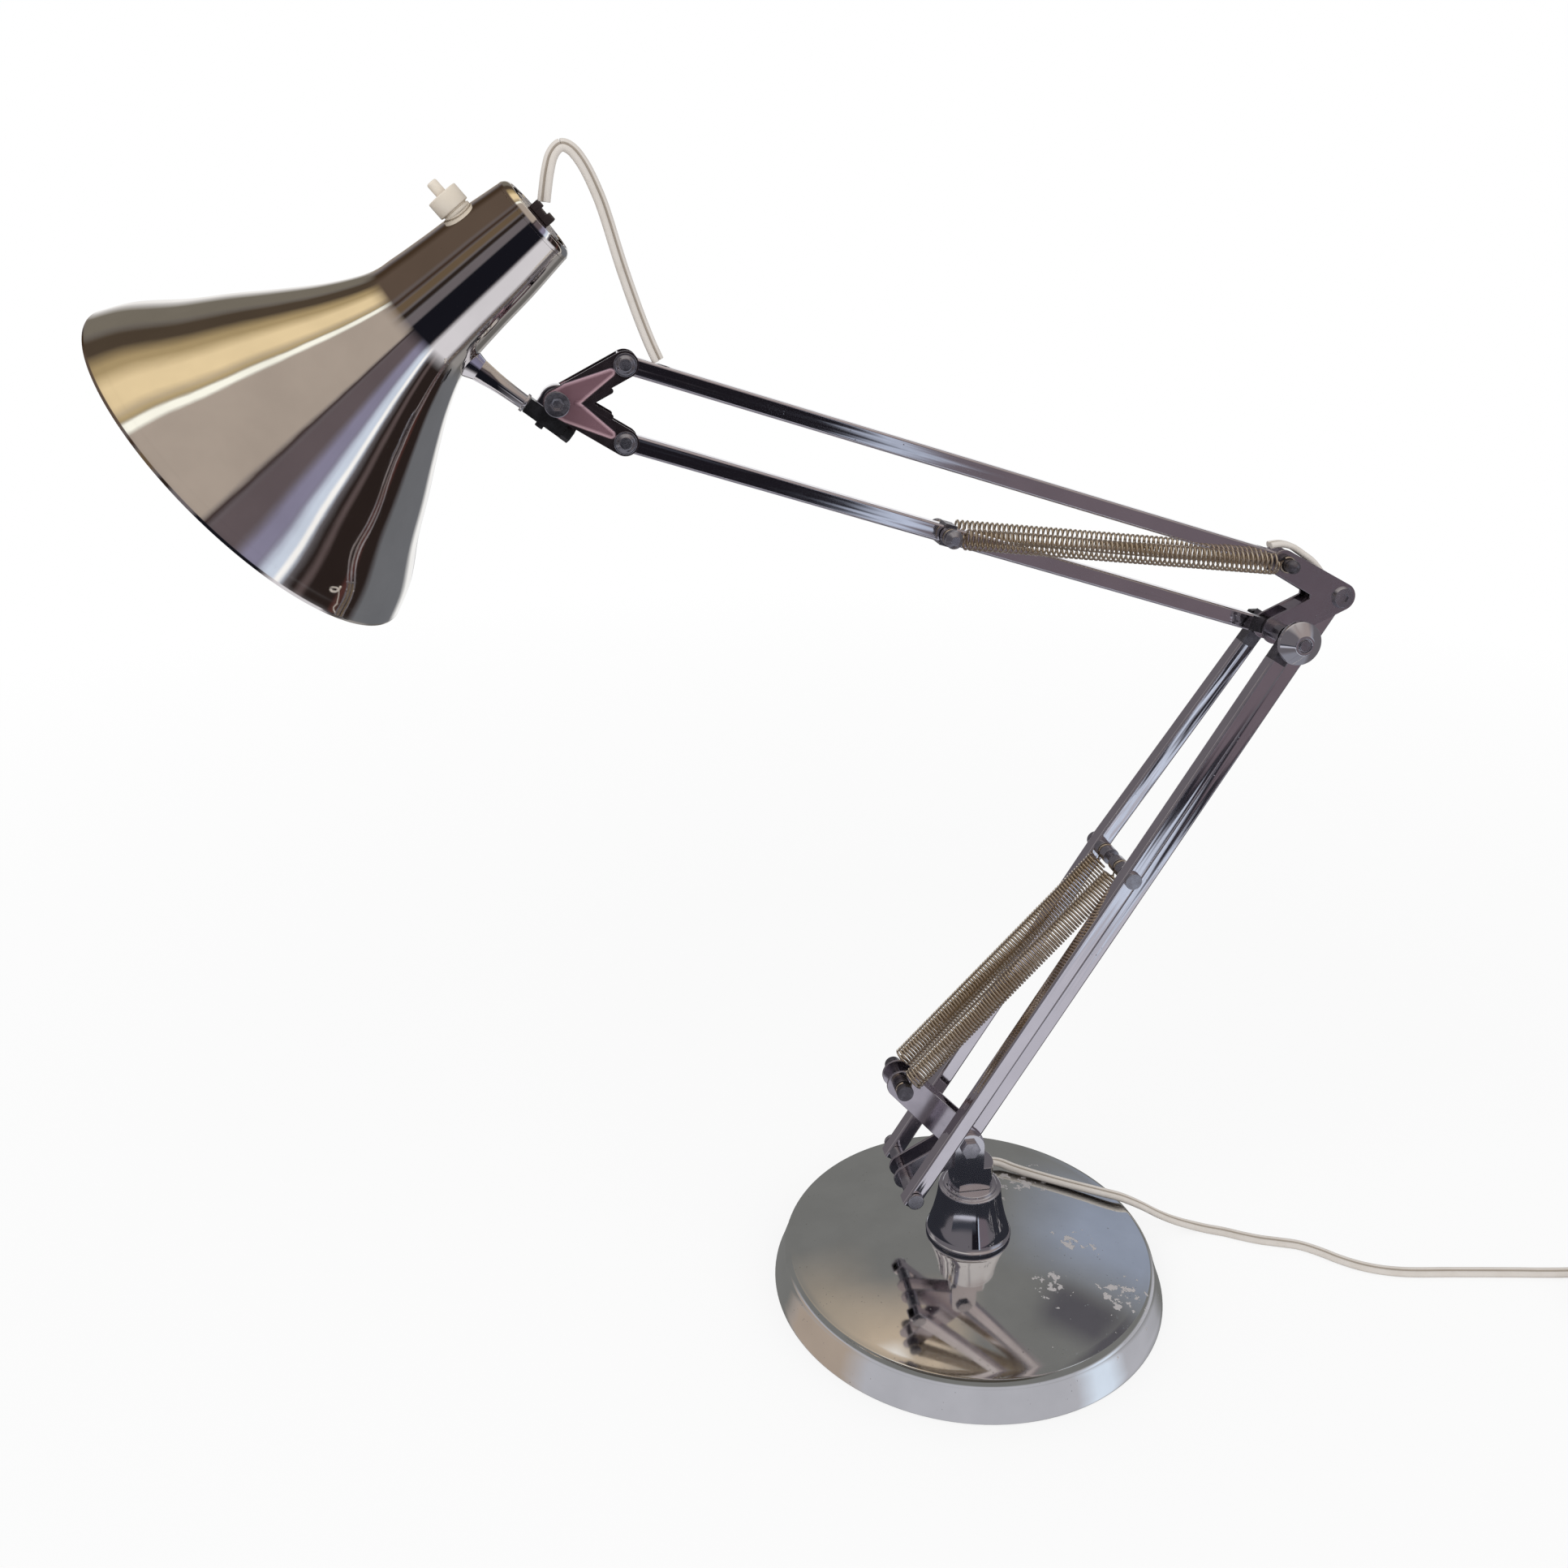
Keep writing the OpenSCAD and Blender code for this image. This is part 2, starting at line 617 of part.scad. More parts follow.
// Where the far front bar starts to run inwards
module on_bend() { on_front_bar(front_bar_y) translate([bend_at, 0, 0]) rotate(-bend) children(); }
bent_len = (lower_len - bend_at) / cos(bend);
module front_bar_near() {
    color("#98959a") on_front_bar(-front_bar_y) difference() {
        square_tube(lower_len - end_len - bar_over, bar_half);
        front_bar_holes();
    }
}
module front_bar_far() {
    color("#8c898d") union() {
        on_front_bar(front_bar_y) difference() {
            square_tube(bend_at - bar_over, bar_half);
            front_bar_holes();
        }
        on_bend() square_tube(bent_len - end_len - bar_over, bar_half);
    }
}
// The stepped plug in the end of a tube, which holds the pivot
module tube_plug(len, from, over, bore) {
    half = bar_half - end_trim;
    core = bar_half - bar_wall;
    difference() {
        union() {
            translate([len - from, -half, -half]) cube([from + over, 2 * half, 2 * half]);
            translate([len - 2 * from, -core, -core]) cube([from, 2 * core, 2 * core]);
        }
        if (bore > 0) bar_bore(len, bore);
    }
}
module front_bar_ends() {
    bore = bolt_r + open_gap;
    color("#4e4c50") {
        on_front_bar(-front_bar_y) tube_plug(lower_len, end_len, bar_over, bore);
        difference() {
            on_bend() tube_plug(bent_len, end_len, bar_over, 0);
            translate(knob_at) pin(0, 2 * front_bar_y, bore);
        }
    }
}
module front_spring_pin() {
    reach = front_out + grip;
    color("#6f6f74") translate(low_pin_at) {
        pin(-reach, reach, pin_r);
        pair() pin(front_out, reach + pin_head_h, pin_head_r);
        pair() spool(waist_r, low_spring_y, front_in);
    }
}

// Springs: a helix whose ends run in to the axis and straight to their pins
curl_rings = 8;
function spring_angle(i) = 360 * i / curl_rings;
function spring_points(len, d) =
    let (
        mean = (d - wire_d) / 2,
        last = curls * curl_rings,
        run = len - 2 * wire_d
    )
    concat(
        [[0, 0, 0]],
        [for (i = [0 : last])
            let (swell = min(1, 2 * i / curl_rings, 2 * (last - i) / curl_rings))
            [wire_d + run * i / last, mean * swell * cos(spring_angle(i)), mean * swell * sin(spring_angle(i))]],
        [[len, 0, 0]]
    );
spring_refs = concat([[0, 0, 1]],
    [for (i = [0 : curls * curl_rings]) [0, -sin(spring_angle(i)), cos(spring_angle(i))]], [[0, 0, 1]]);
spring_sides = 6;
module spring(from, to, y, d, start, end) {
    span = norm(to - from);
    facing = atan2(to[2] - from[2], to[0] - from[0]);
    translate(from + [0, y, 0]) along(facing) translate([start, 0, 0])
        tube(spring_points(span - start - end, d), spring_refs, wire_d, wire_d, spring_sides);
}
echo(low_spring_gap = least_gap(
    spring_points(norm(low_pin_at - low_hook_at) - 2 * waist_r, low_spring_d), curl_rings / 2, wire_d));
echo(top_spring_gap = least_gap(
    spring_points(norm(rod_at - top_pin_at) - 2 * waist_r, top_spring_d), curl_rings / 2, wire_d));
module lower_springs() {
    color("#a8a398") for (y = [-low_spring_y, low_spring_y])
        spring(low_hook_at, low_pin_at, y, low_spring_d, waist_r + curve_gap, waist_r - grip);
}

// Elbow
module elbow_bracket() {
    color("#8a878c") difference() {
        union() {
            pair() plate(plate_in, plate_out) {
                leg(rear_at, knob_at, elbow_r, elbow_r);
                leg(rear_at, rod_at, elbow_r, tip_r);
                gusset(rear_at, knob_at, rod_at, gusset_reach);
            }
            web(rear_at, knob_at, gusset_reach, link_run - tip_r, tip_r - sheet_t, sheet_t, -1);
            web(rear_at, rod_at, gusset_reach, rod_run - tip_r, tip_r - sheet_t, sheet_t, 1);
        }
        bracket_bore(rear_at, bore_r);
        bracket_bore(knob_at, bore_r);
        bracket_bore(rod_at, bore_r);
    }
}
rivet_r = 6;
rivet_h = 2;
socket_r = 2.6;
socket_depth = 1;
module rear_rivet() {
    color("#6c6a6e") translate(rear_at) difference() {
        union() {
            pin(-plate_out, plate_out, bolt_r);
            pair() across(plate_out, plate_out + rivet_h, rivet_r, rivet_r - socket_depth);
        }
        pair() hexagon(plate_out + rivet_h - socket_depth, plate_out + rivet_h + overrun, socket_r);
    }
}
ball_r = 3.6;
module upper_spring_pin() {
    color("#55545a") translate(rod_at) {
        pin(-plate_out, plate_out, bolt_r);
        pair() {
            pin(plate_out, top_spring_y - waist_half, spool_r);
            pin(top_spring_y - waist_half, top_spring_y + 2 * waist_half, waist_r);
            translate([0, top_spring_y + waist_half + ball_r, 0]) sphere(r = ball_r);
        }
    }
}
knob_gap = 1;
bolt_end = 0.5;
bolt_near = knob_gap + knob_h + bolt_end;
far_head_h = 4.5;
module elbow_bolt() {
    color("#303034") translate(knob_at) {
        pin(-front_out - bolt_near, bent_out, bolt_r);
        hexagon(bent_out, bent_out + far_head_h, bolt_head_r);
    }
}
module elbow_spacer() { color("#6f6f74") translate(knob_at) mirror([0, 1, 0]) spacer(bolt_r); }
// Route of the lead over the elbow, from the top rod to the rear bar
elbow_route = [
    [-40.2, 0, 27.8], [-34.2, 0, 28.3], [-28.2, 0, 26.8], [-22.2, 0, 23.1],
    [-16.2, 0, 18.8], [-11.2, 0, 13.3], [-7.8, 0, 7.9], [-5.7, 0, 1.6]
];
elbow_points = [for (q = elbow_route) rear_at + q];
elbow_split = 3;
sideways = [0, 1, 0];
// Gap between two pieces of the lead, which ride on different bodies
lead_gap = 0.3;
module flat_lead(p, from, to) {
    color("#d6cfc4") tube(
        [for (i = [from : to]) p[i] + (i == from && from > 0 ? lead_gap : 0) * heading(p, i)],
        [for (i = [from : to]) sideways],
        cord_w, cord_t, cord_sides,
        [for (i = [from : to]) heading(p, i)]
    );
}
module elbow_lead_high() { flat_lead(elbow_points, 0, elbow_split); }
module elbow_lead_low() { flat_lead(elbow_points, elbow_split, len(elbow_points) - 1); }

knob_skirt_r = 8.6;
knob_face_r = 7.5;
recess_r = 4.6;
recess_depth = 1.6;
module elbow_knob() {
    near = -front_out - knob_gap;
    flange = near - knob_h * 0.25;
    rim = near - knob_h * 0.5;
    face = near - knob_h;
    color("#b4b6bb") translate(knob_at) difference() {
        union() {
            pin(flange, near, knob_skirt_r);
            pin(rim, flange, knob_r);
            across(face, rim, knob_face_r, knob_r);
        }
        pin(face - overrun, face + recess_depth, recess_r);
        pin(face - overrun, near + overrun, bore_r);
    }
}

// Upper arm
rod_entry = 11;
head_entry = 17.5;
module top_rod() {
    color("#8c898d") translate(rod_at) along(upper_lean) difference() {
        square_tube(upper_len, bar_half);
        bar_bore(0, bore_r);
        bar_bore(upper_len, bore_r);
        for (at = [rod_entry, upper_len - head_entry])
            translate([at, 0, -bar_w]) cylinder(h = bar_w, r = cord_w / 2);
    }
}
module top_rod_lead() {
    color("#d6cfc4") translate(rod_at) along(upper_lean) mirror([0, 0, 1]) inner_lead(upper_len);
}
module bottom_rod() {
    color("#8c898d") translate(knob_at) along(upper_lean) difference() {
        square_tube(upper_len, bar_half);
        translate([-end_len, -bar_w, -bar_w]) cube([2 * end_len, 2 * bar_w, 2 * bar_w]);
        bar_bore(upper_len, bolt_r + open_gap);
        bar_bore(top_anchor, pin_bore_r);
    }
}
module bottom_rod_end() {
    color("#4e4c50") translate(knob_at) along(upper_lean) mirror([1, 0, 0]) tube_plug(0, end_len, bar_over, bore_r);
}
clamp_len = 6;
clamp_t = 1.2;
module spring_clamp() {
    outer = bar_half + clamp_t;
    color("#3c3b40") translate(knob_at) along(upper_lean) translate([top_anchor, 0, 0]) difference() {
        translate([-clamp_len / 2, -outer, -outer]) cube([clamp_len, 2 * outer, 2 * outer]);
        translate([-clamp_len, -bar_half, -bar_half]) cube([2 * clamp_len, bar_w, bar_w]);
        pin(-bar_w, bar_w, pin_bore_r);
    }
}
module spring_clamp_pin() {
    clamp_out = bar_half + clamp_t;
    tail = top_spring_y + top_spring_d / 2;
    color("#6c6a6e") translate(top_pin_at) {
        pin(-tail, tail, pin_r);
        pair() {
            spool(clamp_out, top_spring_y, top_spring_y + 2 * waist_half);
            across(tail - pin_head_h, tail, pin_head_r, pin_head_r);
            across(tail, tail + pin_head_h, pin_head_r, pin_r);
        }
    }
}
module upper_springs() {
    color("#b5aa90") for (y = [-top_spring_y, top_spring_y])
        spring(top_pin_at, rod_at, y, top_spring_d, waist_r - grip, waist_r + curve_gap);
}

// Yoke
yoke_tip_r = 6.3;
ridge_r = 1.4;
ridge_h = 0.6;
module yoke() {
    middle = (yoke_high_at + yoke_low_at) / 2;
    fork_at = head_at + (middle - head_at) * 0.45;
    color("#9a8f97") difference() {
        union() {
            pair() plate(plate_in, plate_out) {
                leg(head_at, yoke_high_at, yoke_tip_r, yoke_tip_r);
                leg(head_at, yoke_low_at, yoke_tip_r, yoke_tip_r);
            }
            pair() plate(plate_out, plate_out + ridge_h) {
                leg(head_at + (middle - head_at) * 0.3, fork_at, ridge_r, ridge_r);
                leg(fork_at, fork_at + (yoke_high_at - head_at) * 0.33, ridge_r, ridge_r);
                leg(fork_at, fork_at + (yoke_low_at - head_at) * 0.33, ridge_r, ridge_r);
            }
        }
        bracket_bore(yoke_high_at, bore_r);
        bracket_bore(yoke_low_at, bore_r);
        bracket_bore(head_at, bore_r);
    }
}
washer_r = 5.5;
washer_t = 1.4;
module yoke_rivets() {
    color("#a5a3a8") for (p = [yoke_high_at, yoke_low_at]) translate(p) {
        pin(-plate_out, plate_out, bolt_r);
        pair() pin(plate_out, plate_out + washer_t, washer_r);
        pair() across(plate_out + washer_t, plate_out + 2 * washer_t, bolt_r + washer_t, bolt_r);
    }
}

// Head joint: the block clamps the tube, and the lug hangs it on the tilt screw
block_at = head_at + tube_drop * [-sin(tube_lean), 0, -cos(tube_lean)];
module on_tube() { translate(block_at) along(-tube_lean) children(); }
module round_tube(from, to, r0, r1) {
    translate([from, 0, 0]) rotate([0, 90, 0]) cylinder(h = to - from, r1 = r0, r2 = r1);
}
spigot_r = 2.2;
lug_r = 8;
lug_gap = 0.25;
lug_half = plate_in - lug_gap;
tilt_nut_h = 4;
module tilt_nut() {
    color("#55545a") translate(head_at) difference() {
        hexagon(plate_out, plate_out + tilt_nut_h, bolt_head_r);
        pin(plate_out - overrun, plate_out + tilt_nut_h + overrun, bore_r);
    }
}
disc_from = 2.2;
disc_h = 4.6;
disc_step = 1;
module tilt_screw() {
    near = -plate_out - ridge_h - face_gap;
    color("#a9a7ad") translate(head_at) difference() {
        union() {
            pin(near, plate_out + tilt_nut_h + overrun, bolt_r);
            pin(near - disc_from, near, disc_r - disc_step);
            pin(near - disc_from - disc_h, near - disc_from, disc_r);
        }
        hexagon(near - disc_from - disc_h - overrun, near - disc_from - disc_h / 2, socket_r);
    }
}
module head_lug() {
    top = block_h / 2;
    foot = lug_r - curve_gap;
    color("#c9cbce") difference() {
        plate(-lug_half, lug_half) translate([block_at[0], block_at[2]]) rotate(-tube_lean) difference() {
            union() {
                translate([0, tube_drop]) circle(r = lug_r);
                translate([-foot, 0]) square([2 * foot, tube_drop]);
            }
            translate([-block_len, top - block_len]) square([2 * block_len, block_len]);
        }
        translate(head_at) pin(-lug_half - overrun, lug_half + overrun, bore_r);
    }
}
module clamp_block() {
    color("#26262a") on_tube() difference() {
        translate([-block_len / 2, -lug_half, -block_h / 2]) cube([block_len, 2 * lug_half, block_h]);
        round_tube(-block_len, block_len, spigot_r + run_gap, spigot_r + run_gap);
    }
}
screw_r = 2;
module block_screw() {
    color("#1c1c1f") on_tube() translate([0, 0, -block_h / 2 - screw_r]) difference() {
        cylinder(h = screw_r, r = screw_r);
        translate([0, 0, -overrun]) cylinder(h = overrun + screw_r / 2, r = screw_r / 2, $fn = 6);
    }
}
collar_t = 1.6;
collar_r = 4.6;
tube_nut_r = 4.2;
tube_nut_h = 4.4;
tube_end = block_len / 2 + collar_t + tube_len + 3 * shade_wall;
tube_hole_r = tube_wide_r + run_gap;
module head_tube() {
    end = block_len / 2 + face_gap;
    color("#c9cbce") on_tube() {
        round_tube(-end, end + tube_nut_h, spigot_r, spigot_r);
        round_tube(-end - collar_t, -end, collar_r, collar_r);
        round_tube(-tube_end, -end - collar_t, tube_wide_r, tube_thin_r);
    }
}
module tube_nut() {
    end = block_len / 2 + face_gap;
    color("#26262a") on_tube() difference() {
        translate([end, 0, 0]) rotate([0, 90, 0]) cylinder(h = tube_nut_h, r = tube_nut_r, $fn = 6);
        round_tube(end - overrun, end + tube_nut_h + overrun, spigot_r + run_gap, spigot_r + run_gap);
    }
}

// Shade: its axis starts at the cap, and the tube meets the neck at tube_at
neck_at = block_at - polar(block_len / 2 + tube_len + collar_t, -tube_lean);
module on_shade() {
    translate(neck_at) rotate([0, -shade_lean, 0]) rotate([0, 0, shade_turn])
        translate([-tube_at, 0, -neck_r(tube_at)]) rotate([0, 90, 0]) children();
}
shade_shares = [
    [0, 0.227], [0.06, 0.241], [0.15, 0.262], [0.25, 0.278], [0.35, 0.298], [0.42, 0.32],
    [0.52, 0.413], [0.62, 0.534], [0.72, 0.664], [0.82, 0.786], [0.92, 0.928], [1, 1]
];
smooth_steps = 3;
// A smooth curve through the stations
function blend(a, b, c, d, s) =
    0.5 * (2 * b + (c - a) * s + (2 * a - 5 * b + 4 * c - d) * s * s + (3 * b - a - 3 * c + d) * s * s * s);
function station(i) = shade_shares[max(0, min(len(shade_shares) - 1, i))];
shade_curve = concat(
    [for (i = [0 : len(shade_shares) - 2], k = [0 : smooth_steps - 1])
        blend(station(i - 1), station(i), station(i + 1), station(i + 2), k / smooth_steps)],
    [[1, 1]]
);
// Radius of the neck, which widens evenly between its first stations
function neck_r(t) = rim_r * lookup(t / shade_len, shade_shares);
function shade_outline(inset) = concat(
    [[neck_r(cap_t) - inset, cap_t]],
    [for (s = shade_curve) if (shade_len * s[0] > cap_t) [rim_r * s[1] - inset, shade_len * s[0]]]
);
rim_roll_r = 1.3;
// The neck and shade as one solid, which other pieces are cut to
module shade_core() {
    on_shade() rotate_extrude() polygon(concat([[0, 0]], shade_outline(0), [[0, shade_len]]));
}
module shade() {
    color("#b8b4ab") difference() {
        on_shade() union() {
            rotate_extrude() polygon(concat(shade_outline(0), backwards(shade_outline(shade_wall))));
            translate([0, 0, shade_len]) rotate_extrude() translate([rim_r - rim_roll_r, 0]) circle(r = rim_roll_r);
        }
        on_tube() round_tube(-tube_end, -tube_end + tube_len / 2, tube_hole_r, tube_hole_r);
        on_shade() switch_side() cylinder(h = rim_r, r = barrel_r + run_gap);
    }
}
module switch_side() { translate([0, 0, switch_at]) rotate([0, 90, 0]) children(); }
boss_len = 6;
boss_r = 7.3;
boss_lip = 0.4;
module tube_boss() {
    near = -block_len / 2 - collar_t - tube_len;
    color("#b0b2b6") difference() {
        on_tube() round_tube(near - boss_len / 3, near + boss_len, boss_r, tube_wide_r + boss_lip);
        on_tube() round_tube(near - boss_len, near + 2 * boss_len, tube_hole_r, tube_hole_r);
        shade_core();
    }
}
slot_r = 14.5;
slot_w = 3.4;
slot_arc = 90;
cap_t = 4;
cap_plate_t = 1.6;
cap_skirt = 9;
cap_round = 3.6;
module end_cap() {
    top_r = neck_r(cap_t);
    inner = top_r - shade_wall - run_gap;
    color("#a6a39c") on_shade() difference() {
        rotate_extrude() polygon(concat(
            [[0, 0]],
            [for (a = [0 : 15 : 90]) [top_r - cap_round + cap_round * sin(a), cap_round * (1 - cos(a))]],
            [[top_r, cap_t], [inner, cap_t], [inner, cap_skirt], [inner - shade_wall, cap_skirt],
             [inner - shade_wall, cap_t], [inner - cap_round, cap_plate_t], [0, cap_plate_t]]
        ));
        for (a = [-slot_arc / 2, 180 - slot_arc / 2]) rotate(a) translate([0, 0, -cap_t])
            rotate_extrude(angle = slot_arc) translate([slot_r - slot_w / 2, 0]) square([slot_w, 2 * cap_t]);
        translate([0, 0, -cap_t]) cylinder(h = 2 * cap_t, r = cord_t);
    }
}
clamp_w = 10;
clamp_d = 11.5;
clamp_h = 4.4;
module cord_clamp() {
    color("#3b2f2b") on_shade() translate([-clamp_d / 2, -clamp_w / 2, -clamp_h])
        cube([clamp_d, clamp_w, clamp_h]);
}
holder_r = 13.5;
holder_len = 44;
socket_len = 22;
thread_r = 12;
bulb_neck = 26;
module lampholder() {
    color("#e8e4da") on_shade() translate([0, 0, cap_plate_t]) difference() {
        cylinder(h = holder_len, r = holder_r);
        translate([0, 0, holder_len - socket_len]) cylinder(h = socket_len + overrun, r = thread_r);
    }
}
module bulb() {
    base = cap_plate_t + holder_len - socket_len;
    globe = bulb_end - globe_r;
    swell = globe_r * 0.85;
    color("#f2f0e6") on_shade() {
        translate([0, 0, base]) cylinder(h = bulb_neck, r = thread_r);
        translate([0, 0, base + bulb_neck])
            cylinder(h = globe - globe_r / 2 - base - bulb_neck, r1 = thread_r, r2 = swell);
        translate([0, 0, globe]) sphere(r = globe_r);
    }
}
barrel_r = 4.9;
barrel_in = 4;
groove_h = 1.4;
press = 3;
switch_nut_in = 0.8;
module switch_body() {
    seat = neck_r(switch_at);
    hole = button_h + press + switch_d / 10;
    color("#ddd3bd") difference() {
        union() {
            on_shade() switch_side() {
                translate([0, 0, seat - barrel_in]) cylinder(h = barrel_in + switch_h, r = barrel_r);
                translate([0, 0, seat + groove_h]) cylinder(h = switch_h - groove_h, r = switch_d / 2);
            }
            difference() {
                on_shade() switch_side() translate([0, 0, seat - groove_h])
                    cylinder(h = 2.5 * groove_h, r = switch_d / 2 - switch_nut_in);
                shade_core();
            }
        }
        on_shade() switch_side() translate([0, 0, seat + switch_h - hole])
            cylinder(h = hole + overrun, r = button_d / 2 + run_gap);
    }
}
module switch_button() {
    seat = neck_r(switch_at);
    color("#d8cdb6") on_shade() switch_side()
        translate([0, 0, seat + switch_h - button_h]) cylinder(h = 2 * button_h, r = button_d / 2);
}

// Route of the lead from the cap to the top rod, sagging over the yoke
head_route = [
    [-2.3, -7.2, 88.3], [-1.6, -7, 93.1], [-0.2, -6.4, 101.1], [2, -5.9, 108.3], [6, -5.4, 112.3],
    [11, -5, 110.3], [16.4, -4.7, 102.8], [21.8, -4.1, 91.1], [25.2, -3.6, 81.1], [28.4, -3, 70.1],
    [31.4, -2.4, 60.1], [35, -1.8, 49.1], [38.8, -1.2, 38.1], [43, -0.6, 27.1], [47, 0, 18]
];
head_points = [for (q = head_route) head_at + q];
head_split = [4, 9];
module head_lead_start() { flat_lead(head_points, 0, head_split[0]); }
module head_lead_middle() { flat_lead(head_points, head_split[0], head_split[1]); }
module head_lead_end() { flat_lead(head_points, head_split[1], len(head_points) - 1); }

base_felt();
base_weight();
base_cover();
post_cup();
lead_gland();
mains_cord();
mains_coil();
coil_tie();
mains_plug();
swivel_fork();
stem_nut();
base_bracket();
main_bolt();
main_nut();
bottom_pin();
bottom_spacers();
lower_spring_pin();
rear_bar();
rear_bar_lead();
front_bar_near();
front_bar_far();
front_bar_ends();
front_spring_pin();
lower_springs();
elbow_bracket();
rear_rivet();
upper_spring_pin();
elbow_bolt();
elbow_spacer();
elbow_lead_low();
elbow_knob();
top_rod();
top_rod_lead();
elbow_lead_high();
bottom_rod();
bottom_rod_end();
spring_clamp();
spring_clamp_pin();
upper_springs();
yoke();
yoke_rivets();
tilt_nut();
head_lead_end();
tilt_screw();
head_lug();
clamp_block();
block_screw();
head_lead_middle();
head_tube();
tube_boss();
tube_nut();
shade();
end_cap();
cord_clamp();
lampholder();
bulb();
switch_body();
head_lead_start();
switch_button();
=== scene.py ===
import json
import bpy
import bmesh
from math import radians, sin, cos, pi, hypot
from mathutils import Matrix, Vector

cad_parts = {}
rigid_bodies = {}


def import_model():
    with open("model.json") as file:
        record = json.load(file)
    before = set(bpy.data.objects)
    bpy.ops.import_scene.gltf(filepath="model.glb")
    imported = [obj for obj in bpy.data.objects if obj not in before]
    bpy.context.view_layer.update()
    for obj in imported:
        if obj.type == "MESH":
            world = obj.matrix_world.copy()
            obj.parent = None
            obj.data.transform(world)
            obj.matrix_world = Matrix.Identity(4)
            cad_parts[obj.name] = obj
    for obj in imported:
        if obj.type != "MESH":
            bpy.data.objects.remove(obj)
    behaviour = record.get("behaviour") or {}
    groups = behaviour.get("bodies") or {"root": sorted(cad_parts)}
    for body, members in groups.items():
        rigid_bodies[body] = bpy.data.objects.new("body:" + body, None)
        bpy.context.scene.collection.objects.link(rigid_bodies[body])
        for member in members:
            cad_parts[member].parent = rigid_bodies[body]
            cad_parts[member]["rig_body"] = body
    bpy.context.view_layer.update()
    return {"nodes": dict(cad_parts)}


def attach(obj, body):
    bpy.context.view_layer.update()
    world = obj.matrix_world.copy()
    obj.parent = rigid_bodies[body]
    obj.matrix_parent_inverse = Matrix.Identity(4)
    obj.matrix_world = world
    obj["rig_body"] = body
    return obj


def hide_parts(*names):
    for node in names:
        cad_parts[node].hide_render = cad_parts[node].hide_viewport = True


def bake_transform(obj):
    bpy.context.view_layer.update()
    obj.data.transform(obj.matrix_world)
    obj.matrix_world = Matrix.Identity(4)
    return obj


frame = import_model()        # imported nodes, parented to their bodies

nodes = frame["nodes"]
mm = 0.001
print("frame loaded:", len(nodes), "nodes")


def linear(hexColour):
    channels = [int(hexColour[i:i + 2], 16) / 255 for i in (1, 3, 5)]
    return [c / 12.92 if c <= 0.04045 else ((c + 0.055) / 1.055) ** 2.4 for c in channels] + [1.0]


def metres(points):
    return [Vector(p) * mm for p in points]


# Camera, set where the photograph was taken from
photo = {
    "focalPixels": 1800, "sidePixels": 1932, "middleRow": 760,
    "place": (-223.09, -682.65, 586.65),
    "forward": (0.16143, 0.95069, -0.26480), "roll": 0.0026,
}


def placeCamera():
    data = bpy.data.cameras.new("photoCamera")
    camera = bpy.data.objects.new("photoCamera", data)
    bpy.context.scene.collection.objects.link(camera)
    forward = Vector(photo["forward"]).normalized()
    flatRight = forward.cross(Vector((0, 0, 1))).normalized()
    flatUp = flatRight.cross(forward)
    right = cos(photo["roll"]) * flatRight + sin(photo["roll"]) * flatUp
    up = right.cross(forward)
    turn = Matrix((right, up, -forward)).transposed()
    camera.matrix_world = Matrix.Translation(Vector(photo["place"]) * mm) @ turn.to_4x4()
    data.sensor_width = 36
    data.lens = 36 * photo["focalPixels"] / photo["sidePixels"]
    data.shift_y = (photo["middleRow"] - photo["sidePixels"] / 2) / photo["sidePixels"]
    data.clip_start = 0.01
    bpy.context.scene.camera = camera


placeCamera()


# Materials
def addNode(tree, kind, inputs=(), **settings):
    node = tree.nodes.new(kind)
    for name, value in settings.items():
        setattr(node, name, value)
    for socket, value in dict(inputs).items():
        if isinstance(value, bpy.types.NodeSocket):
            tree.links.new(value, node.inputs[socket])
        else:
            node.inputs[socket].default_value = value
    return node


def newMaterial(name):
    material = bpy.data.materials.new(name)
    material.use_nodes = True
    tree = material.node_tree
    return material, tree, tree.nodes["Principled BSDF"]


def objectPlace(tree, stretch=(1, 1, 1), turn=(0, 0, 0)):
    # the pattern is stretched first, and turned after that
    coords = addNode(tree, "ShaderNodeTexCoord")
    return addNode(tree, "ShaderNodeMapping", {
        "Vector": coords.outputs["Object"], "Scale": stretch, "Rotation": turn}, vector_type="TEXTURE").outputs[0]


def noiseAt(tree, vector, size, detail=3.0, rough=0.55):
    # size is the real size of the pattern, in mm
    return addNode(tree, "ShaderNodeTexNoise", {
        "Vector": vector, "Scale": 1 / (size * mm), "Detail": detail, "Roughness": rough}).outputs["Fac"]


def spread(tree, value, low, high, toLow=0.0, toHigh=1.0):
    return addNode(tree, "ShaderNodeMapRange", {
        "Value": value, "From Min": low, "From Max": high, "To Min": toLow, "To Max": toHigh}).outputs[0]


def mathNode(tree, operation, a, b=0.0, clamp=False):
    return addNode(tree, "ShaderNodeMath", {0: a, 1: b}, operation=operation, use_clamp=clamp).outputs[0]


def mixColour(tree, factor, a, b):
    node = addNode(tree, "ShaderNodeMix", data_type="RGBA")
    for socket, value in (("Factor_Float", factor), ("A_Color", a), ("B_Color", b)):
        target = next(s for s in node.inputs if s.identifier == socket)
        if isinstance(value, bpy.types.NodeSocket):
            tree.links.new(value, target)
        else:
            target.default_value = value
    return next(s for s in node.outputs if s.identifier == "Result_Color")


